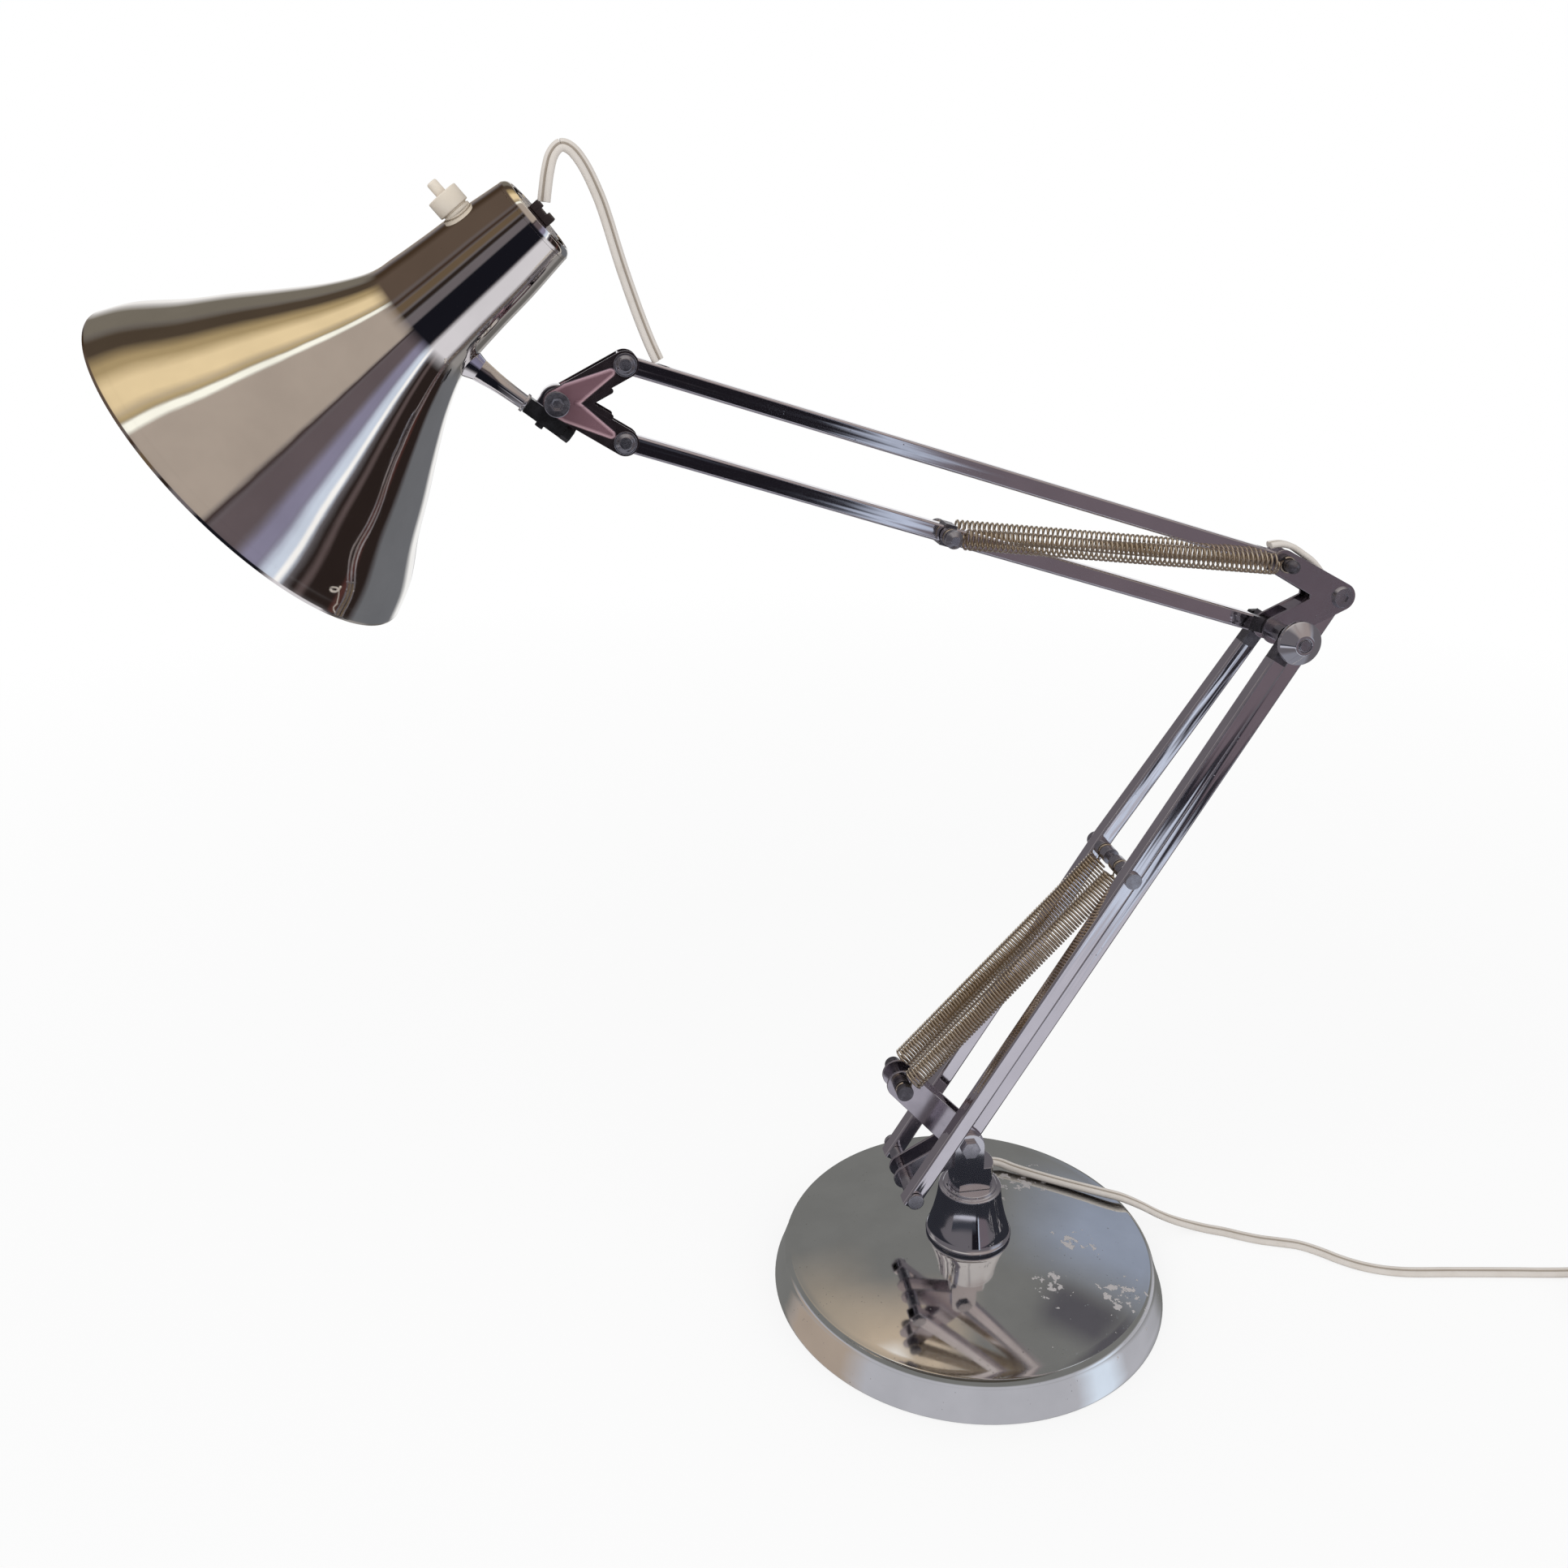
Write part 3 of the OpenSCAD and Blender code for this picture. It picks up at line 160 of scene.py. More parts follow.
def nearPlace(tree, place, size):
    # 1 at a place on the object, falling to 0 at a distance of size, both in mm
    coords = addNode(tree, "ShaderNodeTexCoord").outputs["Object"]
    gap = addNode(tree, "ShaderNodeVectorMath", {0: coords, 1: Vector(place) * mm}, operation="DISTANCE")
    return spread(tree, gap.outputs["Value"], size * mm, 0.3 * size * mm)


# Old chrome plate: cloudy polish, fine scratches, pits, and patches where the plate flakes
def chromeFinish(name, tint, rough, cloudy=0.03, pits=0.5, pitSize=2.2, streak=(1, 1, 1), turn=(0, 0, 0),
                 wave=0.0, waveSize=30, patches=(), stain="#6f655a", metallic=1.0):
    material, tree, shader = newMaterial(name)
    shader.inputs["Metallic"].default_value = metallic
    plain = objectPlace(tree)
    drawn = objectPlace(tree, streak, turn)
    cloud = noiseAt(tree, plain, 26, 3)
    haze = noiseAt(tree, drawn, 5, 4, 0.6)
    cells = addNode(tree, "ShaderNodeTexVoronoi", {
        "Vector": plain, "Scale": 1 / (pitSize * mm), "Randomness": 1.0})
    pitShape = spread(tree, cells.outputs["Distance"], 0.16, 0.05)
    pitWhere = spread(tree, noiseAt(tree, plain, 9, 3), 0.66 - 0.12 * pits, 0.76 - 0.12 * pits)
    pit = mathNode(tree, "MULTIPLY", pitShape, pitWhere, True)
    tone = mixColour(tree, spread(tree, cloud, 0.35, 0.75), linear(tint), [c * 0.9 for c in linear(tint)[:3]] + [1])
    tone = mixColour(tree, mathNode(tree, "MULTIPLY", pit, 0.8), tone, linear(stain))
    roughness = spread(tree, cloud, 0.3, 0.7, rough, rough + cloudy)
    roughness = mathNode(tree, "ADD", roughness, spread(tree, haze, 0.45, 0.8, 0, cloudy))
    roughness = mathNode(tree, "ADD", roughness, mathNode(tree, "MULTIPLY", pit, 0.35), True)
    height = mathNode(tree, "MULTIPLY", pit, -0.6)
    if patches:
        close = None
        for place, size in patches:
            near = nearPlace(tree, place, size)
            close = near if close is None else mathNode(tree, "MAXIMUM", close, near)
        grain = mathNode(tree, "ADD", noiseAt(tree, plain, 5.5, 4, 0.6), mathNode(tree, "MULTIPLY", close, 0.225))
        lifted = spread(tree, grain, 0.765, 0.775)
        tone = mixColour(tree, lifted, tone, linear("#cfcaca"))
        roughness = mathNode(tree, "MAXIMUM", roughness, mathNode(tree, "MULTIPLY", lifted, 0.55))
        tree.links.new(spread(tree, lifted, 0, 1, 1.0, 0.3), shader.inputs["Metallic"])
        height = mathNode(tree, "SUBTRACT", height, mathNode(tree, "MULTIPLY", lifted, 1.2))
    if wave:
        slow = noiseAt(tree, drawn, waveSize, 2, 0.4)
        height = mathNode(tree, "ADD", height, mathNode(tree, "MULTIPLY", slow, wave))
    bump = addNode(tree, "ShaderNodeBump", {"Height": height, "Strength": 0.5, "Distance": 0.00012})
    tree.links.new(tone, shader.inputs["Base Color"])
    tree.links.new(roughness, shader.inputs["Roughness"])
    tree.links.new(bump.outputs[0], shader.inputs["Normal"])
    return material


# Plain steel and enamel: one tone, worn lighter in cloudy places
def steelFinish(name, tone, worn, rough, metallic=1.0, grain=1.2, coat=0.0):
    material, tree, shader = newMaterial(name)
    place = objectPlace(tree)
    cloud = noiseAt(tree, place, grain * 5, 4, 0.6)
    fine = noiseAt(tree, place, grain, 4, 0.7)
    tree.links.new(mixColour(tree, spread(tree, cloud, 0.4, 0.7), linear(tone), linear(worn)), shader.inputs["Base Color"])
    tree.links.new(spread(tree, fine, 0.3, 0.7, rough - 0.06, rough + 0.1), shader.inputs["Roughness"])
    bump = addNode(tree, "ShaderNodeBump", {"Height": fine, "Strength": 0.1, "Distance": 0.0001})
    tree.links.new(bump.outputs[0], shader.inputs["Normal"])
    shader.inputs["Metallic"].default_value = metallic
    shader.inputs["Coat Weight"].default_value = coat
    return material


# Moulded plastic, rubber and glaze: soft colour with grime in broad clouds
def mouldedFinish(name, tone, grime, rough, amount=0.5, grain=0.6, bumpDepth=0.04, coat=0.0, specular=0.5):
    material, tree, shader = newMaterial(name)
    place = objectPlace(tree)
    cloud = noiseAt(tree, place, 14, 4, 0.6)
    fine = noiseAt(tree, place, grain, 3, 0.6)
    factor = mathNode(tree, "MULTIPLY", spread(tree, cloud, 0.45, 0.8), amount)
    tree.links.new(mixColour(tree, factor, linear(tone), linear(grime)), shader.inputs["Base Color"])
    tree.links.new(spread(tree, fine, 0.3, 0.7, rough, rough + 0.12), shader.inputs["Roughness"])
    bump = addNode(tree, "ShaderNodeBump", {"Height": fine, "Strength": 0.3, "Distance": bumpDepth * mm})
    tree.links.new(bump.outputs[0], shader.inputs["Normal"])
    shader.inputs["Coat Weight"].default_value = coat
    shader.inputs["Specular IOR Level"].default_value = specular
    return material


baseChrome = chromeFinish("agedBaseChrome", "#f6f6f4", 0.045, 0.03, pits=1.0, wave=0.8, waveSize=70,  # cover
                          patches=[((70, -58, 23), 27), ((48, 44, 25), 30), ((34, -48, 27), 22), ((58, -16, 26), 20),
                                   ((24, 42, 28), 28)])
cupChrome = chromeFinish("cupChrome", "#ececf0", 0.05, 0.03, pits=0.4)  # post cup and fork
bracketChrome = chromeFinish("satinBracketChrome", "#d2ccd2", 0.16, 0.06, pits=0.6)  # pressed brackets
lowerTurn, upperTurn = radians(58.25), radians(162.5)
lowBarChrome = chromeFinish("lowerBarChrome", "#f0ecf0", 0.05, 0.03, pits=0.5, streak=(30, 1, 1),
                            turn=(0, -lowerTurn, 0), wave=5.5, waveSize=5)
topBarChrome = chromeFinish("upperBarChrome", "#f0ecf0", 0.05, 0.03, pits=0.5, streak=(30, 1, 1),
                            turn=(0, -upperTurn, 0), wave=5.5, waveSize=5)
shadeChrome = chromeFinish("warmShadeChrome", "#fbf8f4", 0.035, 0.02, pits=0, streak=(12, 1, 1),
                           turn=(0, radians(140), 0), wave=0.5, waveSize=9)
shadeInside = chromeFinish("shadeInsideChrome", "#d8d6d4", 0.22, 0.05, pits=0.2)  # duller, never polished
knobChrome = chromeFinish("polishedKnobChrome", "#f0f0f4", 0.06, 0.03, pits=0.1, pitSize=1.2)
brightChrome = chromeFinish("brightTubeChrome", "#f2f0f0", 0.06, 0.03, pits=0.3, pitSize=1.2)
springSteel = steelFinish("goldenSpringWire", "#d9c8ac", "#f4e9d6", 0.13, grain=14)  # lacquered steel wire
greySteel = steelFinish("greyTurnedSteel", "#b4b4ba", "#d2d0d4", 0.22, grain=4)
darkSteel = steelFinish("blackenedSteel", "#6a676c", "#8c8a90", 0.28, 0.9)
blackEnamel = steelFinish("blackEnamel", "#141416", "#26262a", 0.3, 0.2, coat=0.3)
castIron = steelFinish("blackCasting", "#232325", "#38383a", 0.7, 0.6, 2.0)
plugBrass = steelFinish("plugBrass", "#b89a58", "#cbb27a", 0.22)
cordRubber = mouldedFinish("creamFlexRubber", "#e0d9d2", "#d0c6ba", 0.4, 0.5, grain=2, bumpDepth=0.01)
# darker tone for the groove between the flex's cores: painted shade, with cloudy grime over it
groovePaintedShade = mouldedFinish("flexGroovePaintedShade", "#b4a99d", "#a2978a", 0.6, 0.5)
creamPlastic = mouldedFinish("agedCreamPlastic", "#eae0d2", "#d9cbb6", 0.35, 0.4, grain=3, bumpDepth=0.01, coat=0.1)
brownPlastic = mouldedFinish("darkBrownPlastic", "#34292a", "#4a3d3a", 0.42, 0.5, grain=2, bumpDepth=0.01)
glaze = mouldedFinish("creamGlaze", "#e8e4da", "#cfc8b8", 0.12, 0.3, coat=0.5)
tieBand = mouldedFinish("softDarkBand", "#2c2c2e", "#434345", 0.6, 0.4)
feltCloth = mouldedFinish("denseDarkFelt", "#242426", "#3a3a3c", 0.9, 0.8, grain=0.9, bumpDepth=0.3, specular=0.1)
opalGlass = mouldedFinish("opalGlass", "#f4f2ea", "#e8e4d8", 0.08, 0.2, bumpDepth=0.01, coat=0.4)


# Pressed yoke plate: dark plated border, and a polished hollow with a painted rose reflection and a painted pale
# highlight at its edge
# in this table, middle is a painted rose reflection and edge is a painted pale highlight along the hollow's edge
hollow = {"from": (-213.6, 0, 503.95), "ends": [(-182.85, 0, 484.95), (-182.1, 0, 520.8)], "wide": 6.4, "narrow": 1.7,
          "border": "#5a5054", "middle": "#94707a", "edge": "#eec6d0"}


def yokePaintedReflectionFinish(name):
    material, tree, shader = newMaterial(name)
    place = addNode(tree, "ShaderNodeTexCoord").outputs["Object"]
    flat = addNode(tree, "ShaderNodeVectorMath", {0: place, 1: (1, 0, 1)}, operation="MULTIPLY").outputs[0]
    root = Vector(hollow["from"]) * mm
    inside = None
    for end in hollow["ends"]:
        arm = Vector(end) * mm - root
        away = addNode(tree, "ShaderNodeVectorMath", {0: flat, 1: root}, operation="SUBTRACT").outputs[0]
        along = addNode(tree, "ShaderNodeVectorMath", {0: away, 1: arm.normalized()}, operation="DOT_PRODUCT").outputs["Value"]
        share = spread(tree, along, 0, arm.length)
        foot = addNode(tree, "ShaderNodeVectorMath", {0: arm.normalized(), "Scale": mathNode(tree, "MULTIPLY", share, arm.length)},
                       operation="SCALE").outputs[0]
        gap = addNode(tree, "ShaderNodeVectorMath", {0: away, 1: foot}, operation="DISTANCE").outputs["Value"]
        reach = spread(tree, share, 0.2, 0.9, hollow["wide"] * mm, hollow["narrow"] * mm)
        depth = mathNode(tree, "SUBTRACT", reach, gap)
        stopped = mathNode(tree, "MULTIPLY", depth, spread(tree, share, 0.86, 0.8))
        inside = stopped if inside is None else mathNode(tree, "MAXIMUM", inside, stopped)
    shown = spread(tree, inside, 0.0002, 0.0009)
    # glow marks a painted highlight along the hollow's edge; the rose middle is a painted reflection
    glow = spread(tree, inside, 0.0022, 0.0008)
    paintedRoseReflection = mixColour(tree, glow, linear(hollow["middle"]), linear(hollow["edge"]))
    tree.links.new(mixColour(tree, shown, linear(hollow["border"]), paintedRoseReflection), shader.inputs["Base Color"])
    tree.links.new(spread(tree, shown, 0, 1, 0.9, 0.45), shader.inputs["Metallic"])
    tree.links.new(spread(tree, noiseAt(tree, place, 5, 4), 0.3, 0.7, 0.16, 0.28), shader.inputs["Roughness"])
    bump = addNode(tree, "ShaderNodeBump", {"Height": shown, "Strength": 0.5, "Distance": -0.0003})
    tree.links.new(bump.outputs[0], shader.inputs["Normal"])
    return material


yokePaintedReflectionChrome = yokePaintedReflectionFinish("yokeChromePaintedRose")
print("materials made")


def finish(obj, material):
    obj.data.materials.clear()
    obj.data.materials.append(material)
    return obj


# Meshes
def addObject(name, bm, material, body, replaced=(), smoothAngle=40):
    bmesh.ops.recalc_face_normals(bm, faces=bm.faces)
    for face in bm.faces:
        face.smooth = True
    for edge in bm.edges:
        if len(edge.link_faces) == 2 and edge.calc_face_angle(0) > radians(smoothAngle):
            edge.smooth = False
    mesh = bpy.data.meshes.new(name)
    bm.to_mesh(mesh)
    bm.free()
    obj = bpy.data.objects.new(name, mesh)
    bpy.context.scene.collection.objects.link(obj)
    obj.data.materials.append(material)
    if body:
        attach(obj, body)
    if replaced:
        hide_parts(*replaced)
    return obj


def spinProfile(bm, outline, place=Matrix.Identity(4), steps=96):
    # outline is a list of (radius, height) in mm, turned about +Z
    verts = [bm.verts.new((r * mm, 0, z * mm)) for r, z in outline]
    edges = [bm.edges.new(pair) for pair in zip(verts, verts[1:])]
    result = bmesh.ops.spin(bm, geom=verts + edges, cent=(0, 0, 0), axis=(0, 0, 1), angle=2 * pi,
                            steps=steps, use_merge=True, use_duplicate=False)
    bmesh.ops.remove_doubles(bm, verts=bm.verts, dist=0.000002)
    bm.verts.ensure_lookup_table()
    return result


def turnedPiece(name, outline, place, material, body, replaced=(), steps=96, smoothAngle=40):
    bm = bmesh.new()
    spinProfile(bm, outline, steps=steps)
    bmesh.ops.transform(bm, matrix=place, verts=bm.verts)
    return addObject(name, bm, material, body, replaced, smoothAngle)


def axisPlace(origin, direction, side=(0, 1, 0)):
    # turns +Z to the direction, and moves the origin to a place in mm
    z = Vector(direction).normalized()
    y = (Vector(side) - Vector(side).dot(z) * z).normalized()
    x = y.cross(z)
    return Matrix.Translation(Vector(origin) * mm) @ Matrix((x, y, z)).transposed().to_4x4()


def roundedPath(corners, radius, steps=5):
    # rounds the inner corners of an outline
    path = [corners[0]]
    for before, corner, after in zip(corners, corners[1:], corners[2:]):
        b, c, a = Vector(before), Vector(corner), Vector(after)
        reach = min(radius, 0.45 * (b - c).length, 0.45 * (a - c).length)
        p, q = c + (b - c).normalized() * reach, c + (a - c).normalized() * reach
        for i in range(steps + 1):
            t = i / steps
            path.append(tuple((1 - t) ** 2 * p + 2 * t * (1 - t) * c + t * t * q))
    path.append(corners[-1])
    return path


# A copy of a CAD plate or fitting with its hard edges rounded over
def softened(node, name, material, width, segments=2):
    bm = bmesh.new()
    bm.from_mesh(nodes[node].data)
    bmesh.ops.remove_doubles(bm, verts=bm.verts, dist=0.000003)
    bmesh.ops.dissolve_limit(bm, angle_limit=radians(1), verts=bm.verts, edges=bm.edges)
    hard = [e for e in bm.edges if len(e.link_faces) == 2 and e.calc_face_angle(0) > radians(38)]
    bmesh.ops.bevel(bm, geom=hard, offset=width * mm, offset_type="OFFSET", segments=segments, profile=0.5,
                    affect="EDGES", clamp_overlap=True, material=-1)
    obj = addObject(name, bm, material, nodes[node]["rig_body"], (node,), 30)
    weighted = obj.modifiers.new("evenNormals", "WEIGHTED_NORMAL")
    weighted.keep_sharp = True
    return obj


# Smooth line through points, with several steps to each gap
def smoothLine(points, steps=4):
    points = [Vector(p) for p in points]
    line = []
    for i in range(len(points) - 1):
        a, b, c, d = points[max(i - 1, 0)], points[i], points[i + 1], points[min(i + 2, len(points) - 1)]
        for k in range(steps):
            s = k / steps
            line.append(0.5 * (2 * b + (c - a) * s + (2 * a - 5 * b + 4 * c - d) * s * s
                               + (3 * b - a - 3 * c + d) * s ** 3))
    line.append(points[-1])
    return line


# Section of the flat twin flex: two round cores with a groove between them
flex = {"width": 6.6, "thick": 3.3, "groove": 0.3}


def flexSection():
    core = flex["thick"] / 2
    right = [(core + core * cos(radians(a)), core * sin(radians(a))) for a in range(-125, 126, 25)]
    left = [(-core + core * cos(radians(a)), core * sin(radians(a))) for a in range(55, 306, 25)]
    return right + [(0, core * flex["groove"])] + left + [(0, -core * flex["groove"])]


def sweep(bm, line, section, sideways, grooves):
    # runs the section along the line; sideways gives the direction of its width at each point
    ring = None
    for i, point in enumerate(line):
        ahead = (line[min(i + 1, len(line) - 1)] - line[max(i - 1, 0)]).normalized()
        side = sideways(ahead)
        side = (side - side.dot(ahead) * ahead).normalized()
        rise = ahead.cross(side)
        spots = [(point + side * u + rise * v) * mm for u, v in section]
        if ring is None:
            ring = [bm.verts.new(s) for s in spots]
            edges = [bm.edges.new((ring[k], ring[(k + 1) % len(ring)])) for k in range(len(ring))]
            first = ring
        else:
            made = bmesh.ops.extrude_edge_only(bm, edges=edges)["geom"]
            byPlace = {tuple(v.co): v for v in made if isinstance(v, bmesh.types.BMVert)}
            ring = [byPlace[tuple(v.co)] for v in ring]
            edges = [bm.edges.get((ring[k], ring[(k + 1) % len(ring)])) for k in range(len(ring))]
            for v, s in zip(ring, spots):
                v.co = s
        # faces along the groove take the second material, a painted shade
        for face in [f for f in bm.faces if f.material_index == 0 and any(ring[g] in f.verts for g in grooves)]:
            face.material_index = 1
    bm.faces.new(first)
    bm.faces.new(ring)


def leadPiece(name, line, sideways, body=None, replaced=()):
    bm = bmesh.new()
    section = flexSection()
    sweep(bm, line, section, sideways, [k for k, (u, v) in enumerate(section) if u == 0])
    piece = addObject(name, bm, cordRubber, body, replaced, 60)
    piece.data.materials.append(groovePaintedShade)
    return piece


# Mains lead: the photographed run, then the unseen length in a tied coil
lead = {"low": 1.9, "coilRadius": 47, "coilTurns": 6, "turnPitch": 7.2, "layer": 5.0, "tail": 30, "coilX": 376, "coilY": -60}
coilLow = 0.8 + flex["thick"] / 2
coilMiddle = Vector((lead["coilX"], lead["coilY"] - lead["coilRadius"], coilLow))
glandTip = (41 * cos(radians(60)), 41 * sin(radians(60)), 36)
leadRoute = [
    glandTip, (23.5, 42.5, 35.5), (26.8, 50, 33.6), (30.5, 56, 31.2), (37, 56, 29.6), (43.5, 51, 28.9),
    (53, 44.8, 28.2), (63, 38.8, 27.5), (73, 33.3, 26.8), (83, 28.2, 26), (92, 23.8, 25.2),
    (100, 20.5, 24), (107, 18.2, 21.6), (114, 17, 18), (123, 16, 12.6), (133, 15.2, 7.6),
    (144, 14, 3.6), (153, 11.4, 1.9), (162, 7, 1.9), (171, 1.6, 1.9), (180, -3, 1.9),
    (190, -6.8, 1.9), (200, -11, 1.9), (209, -18, 1.9), (217, -26, 1.9),
    (226, -33, 1.9), (236, -38.2, 1.9), (247, -41.8, 1.9), (258, -44, 1.9),
    (271, -46, 1.9), (284, -48.2, 1.9), (297, -50.4, 1.9), (312, -53, 1.9),
    (328, -56, 2), (344, -58.6, 2.2), (360, -60, coilLow),
]


def coilPoint(turn):
    inner = min(turn, lead["coilTurns"] - turn)
    radius = lead["coilRadius"] - lead["turnPitch"] * inner
    climb = max(0, min(1, (turn - lead["coilTurns"] / 2 + 0.25) / 0.5))
    return coilMiddle + Vector((radius * sin(2 * pi * turn), radius * cos(2 * pi * turn), lead["layer"] * climb))


plugEnd = coilPoint(lead["coilTurns"]) + Vector((lead["tail"], 0, 0))


def level(ahead):
    return Vector((0, 0, 1)).cross(ahead)


def makeMainsLead():
    coil = [coilPoint(i / 24) for i in range(24 * lead["coilTurns"] + 1)]
    line = smoothLine(leadRoute + [coil[0]], 4)[:-1] + smoothLine(coil + [coil[-1] + Vector((12, 0, 0)), plugEnd], 2)
    piece = leadPiece("mainsLead", line, level, "base", ("mains_cord", "mains_coil"))
    length = sum((b - a).length for a, b in zip(line, line[1:])) * mm
    return piece, [p * mm for p in line], length


mainsLead, mainsLine, mainsLength = makeMainsLead()


# Flat two-pin plug: a tapered grip and round pins
plug = {"length": 36, "width": 24, "height": 12.6, "pinRadius": 2, "pinReach": 19, "pinGap": 18.6}


def makePlug():
    bm = bmesh.new()
    half = coilLow + lead["layer"]
    bmesh.ops.create_cube(bm, size=1)
    bmesh.ops.scale(bm, vec=(plug["length"] * mm, plug["width"] * mm, 2 * half * mm), verts=bm.verts)
    bmesh.ops.translate(bm, vec=Vector((plug["length"] / 2, 0, 0)) * mm, verts=bm.verts)
    for cut in (0.3, 0.55, 0.8):
        bmesh.ops.bisect_plane(bm, geom=bm.verts[:] + bm.edges[:] + bm.faces[:],
                               plane_co=(cut * plug["length"] * mm, 0, 0), plane_no=(1, 0, 0))
    for v in bm.verts:
        share = v.co.x / (plug["length"] * mm)
        if share < 0.1:
            v.co.y *= 0.42
            v.co.z *= 0.62
        elif share < 0.4:
            v.co.y *= 0.84
            v.co.z *= 0.94
        elif share < 0.6:
            v.co.y *= 0.9
    edges = [e for e in bm.edges if e.calc_face_angle(0) > radians(20)]
    bmesh.ops.bevel(bm, geom=edges, offset=1.6 * mm, offset_type="OFFSET", segments=4, profile=0.5,
                    affect="EDGES", clamp_overlap=True, material=-1)
    bmesh.ops.translate(bm, vec=plugEnd * mm, verts=bm.verts)
    body = addObject("plugGrip", bm, creamPlastic, "base", ("mains_plug",), 50)
    bm = bmesh.new()
    for y in (-plug["pinGap"] / 2, plug["pinGap"] / 2):
        pin = bmesh.new()
        r, reach = plug["pinRadius"], plug["pinReach"]
        spinProfile(pin, roundedPath([(0, -6), (r, -6), (r, reach), (0, reach)], 1.4), steps=24)
        place = axisPlace(plugEnd + Vector((plug["length"], y, 0)), (1, 0, 0), (0, 1, 0))
        bmesh.ops.transform(pin, matrix=place, verts=pin.verts)
        mesh = bpy.data.meshes.new("pinPart")
        pin.to_mesh(mesh)
        pin.free()
        bm.from_mesh(mesh)
        bpy.data.meshes.remove(mesh)
    pins = addObject("plugPins", bm, plugBrass, "base", ())
    return body, pins


plugGrip, plugPins = makePlug()


# Soft band that ties the coil
def makeTie():
    return softened("coil_tie", "coilTie", tieBand, 0.5, segments=3)


coilTie = makeTie()
print("mains lead made, metres:", round(mainsLength, 3))


# Places of the pivots, in mm
mainPivot, linkPivot, hookPin = Vector((-3.5, 0, 89.5)), Vector((-38.75, 0, 73.15)), Vector((-42.75, 0, 132))
rearPivot, knobPivot, rodPivot = Vector((186.2, 0, 396.05)), Vector((150.95, 0, 379.7)), Vector((151.7, 0, 415.55))
yokeLow, yokeHigh, headPivot = Vector((-182.85, 0, 484.95)), Vector((-182.1, 0, 520.8)), Vector((-213.6, 0, 503.95))
lowDirection = Vector((cos(lowerTurn), 0, sin(lowerTurn)))
topDirection = Vector((cos(upperTurn), 0, sin(upperTurn)))
lowSpringPin = linkPivot + 212 * lowDirection
topSpringPin = knobPivot + 186 * topDirection
tubeAngle = radians(37.5)
tubeDirection = Vector((cos(tubeAngle), 0, -sin(tubeAngle)))
blockMiddle = headPivot - 9 * Vector((sin(tubeAngle), 0, cos(tubeAngle)))

# Base: felt, weight and the domed cover with its rolled-under edge
base = {"radius": 110, "topRadius": 100.5, "sideHeight": 20.5, "domeHeight": 30, "shoulder": 4, "lift": 0.5, "wall": 1.2}


def domeHeight(r):
    return base["sideHeight"] + (base["domeHeight"] - base["sideHeight"]) * (1 - (r / base["topRadius"]) ** 2)


def makeBase():
    shoulder, r0 = base["shoulder"], base["topRadius"]
    low = base["sideHeight"] - shoulder
    outline = [(base["radius"] - 1.2 - base["wall"], base["lift"] + 0.1), (base["radius"] - 1.2, base["lift"]),
               (base["radius"] - 0.25, base["lift"] + 0.25), (base["radius"] - 0.35, base["lift"] + 1)]
    for i in range(1, 7):
        z = base["lift"] + 1 + (low - base["lift"] - 1) * i / 6
        outline.append((base["radius"] + (r0 + shoulder - base["radius"]) * z / low, z))
    outline += [(r0 + shoulder * cos(radians(a)), low + shoulder * sin(radians(a))) for a in range(9, 84, 9)]
    outline += [(r0 * (1 - i / 26), domeHeight(r0 * (1 - i / 26))) for i in range(0, 25)]
    outline.append((6.2, domeHeight(6.2)))
    turnedPiece("baseCover", outline, Matrix.Identity(4), baseChrome, "base", ("base_cover",), 128)
    finish(nodes["base_felt"], feltCloth)
    finish(nodes["base_weight"], castIron)


makeBase()

# Post cup: rolled lip, bell and stepped top
cup = {"foot": 24, "top": 17.5, "lip": 3, "height": 62, "step": 1.6, "stepIn": 2.6,
       "bell": [(0, 1), (0.08, 0.89), (0.15, 0.8), (0.25, 0.64), (0.35, 0.5), (0.48, 0.35), (0.6, 0.22), (0.72, 0.12),
                (0.85, 0.04), (0.93, 0.012), (1, 0)]}


def makeCup():
    foot = domeHeight(22.4)
    lip = [(cup["foot"] - 1.5 + 1.5 * cos(radians(a)), foot + 1.5 + 1.5 * sin(radians(a))) for a in range(-90, 75, 15)]
    rise = cup["height"] - cup["step"] - foot - cup["lip"]
    bell = [(cup["top"] + (cup["foot"] - 1 - cup["top"]) * s, foot + cup["lip"] + rise * h) for h, s in cup["bell"][:-1]]
    top = cup["height"] - cup["step"]
    inner = cup["top"] - cup["stepIn"]
    outline = lip + bell + roundedPath([bell[-1], (cup["top"], top), (inner, top), (inner, cup["height"]),
                                        (6.1, cup["height"])], 0.7)[1:]
    turnedPiece("postCup", outline, Matrix.Identity(4), cupChrome, "base", ("post_cup",), 96)
    out = Vector((cos(radians(60)), sin(radians(60)), 0))
    gland = [(4.7, 17.6), (5.4, 18.4), (5.4, 20.6), (4.9, 21.4)]
    for i in range(5):
        z, r = 22 + 3.7 * i, 4.9 - 0.18 * i
        gland += [(r, z), (r, z + 2.2), (r - 0.5, z + 2.5), (r - 0.5, z + 3.4)]
    gland += [(4.0, 41), (1.2, 41)]
    turnedPiece("leadGland", gland, axisPlace((0, 0, 36), out), cordRubber, "base", ("lead_gland",), 32)


makeCup()
print("base made")

# Turret: fork, bracket and their bolts
softened("swivel_fork", "swivelFork", cupChrome, 0.6, segments=3)
softened("base_bracket", "baseBracket", bracketChrome, 0.45)
for node, material, width in (("stem_nut", greySteel, 0.4), ("main_bolt", greySteel, 0.4), ("main_nut", greySteel, 0.4),
                              ("bottom_pin", greySteel, 0.5), ("bottom_spacers", greySteel, 0.25),
                              ("lower_spring_pin", darkSteel, 0.3)):
    softened(node, node.title().replace("_", ""), material, width)

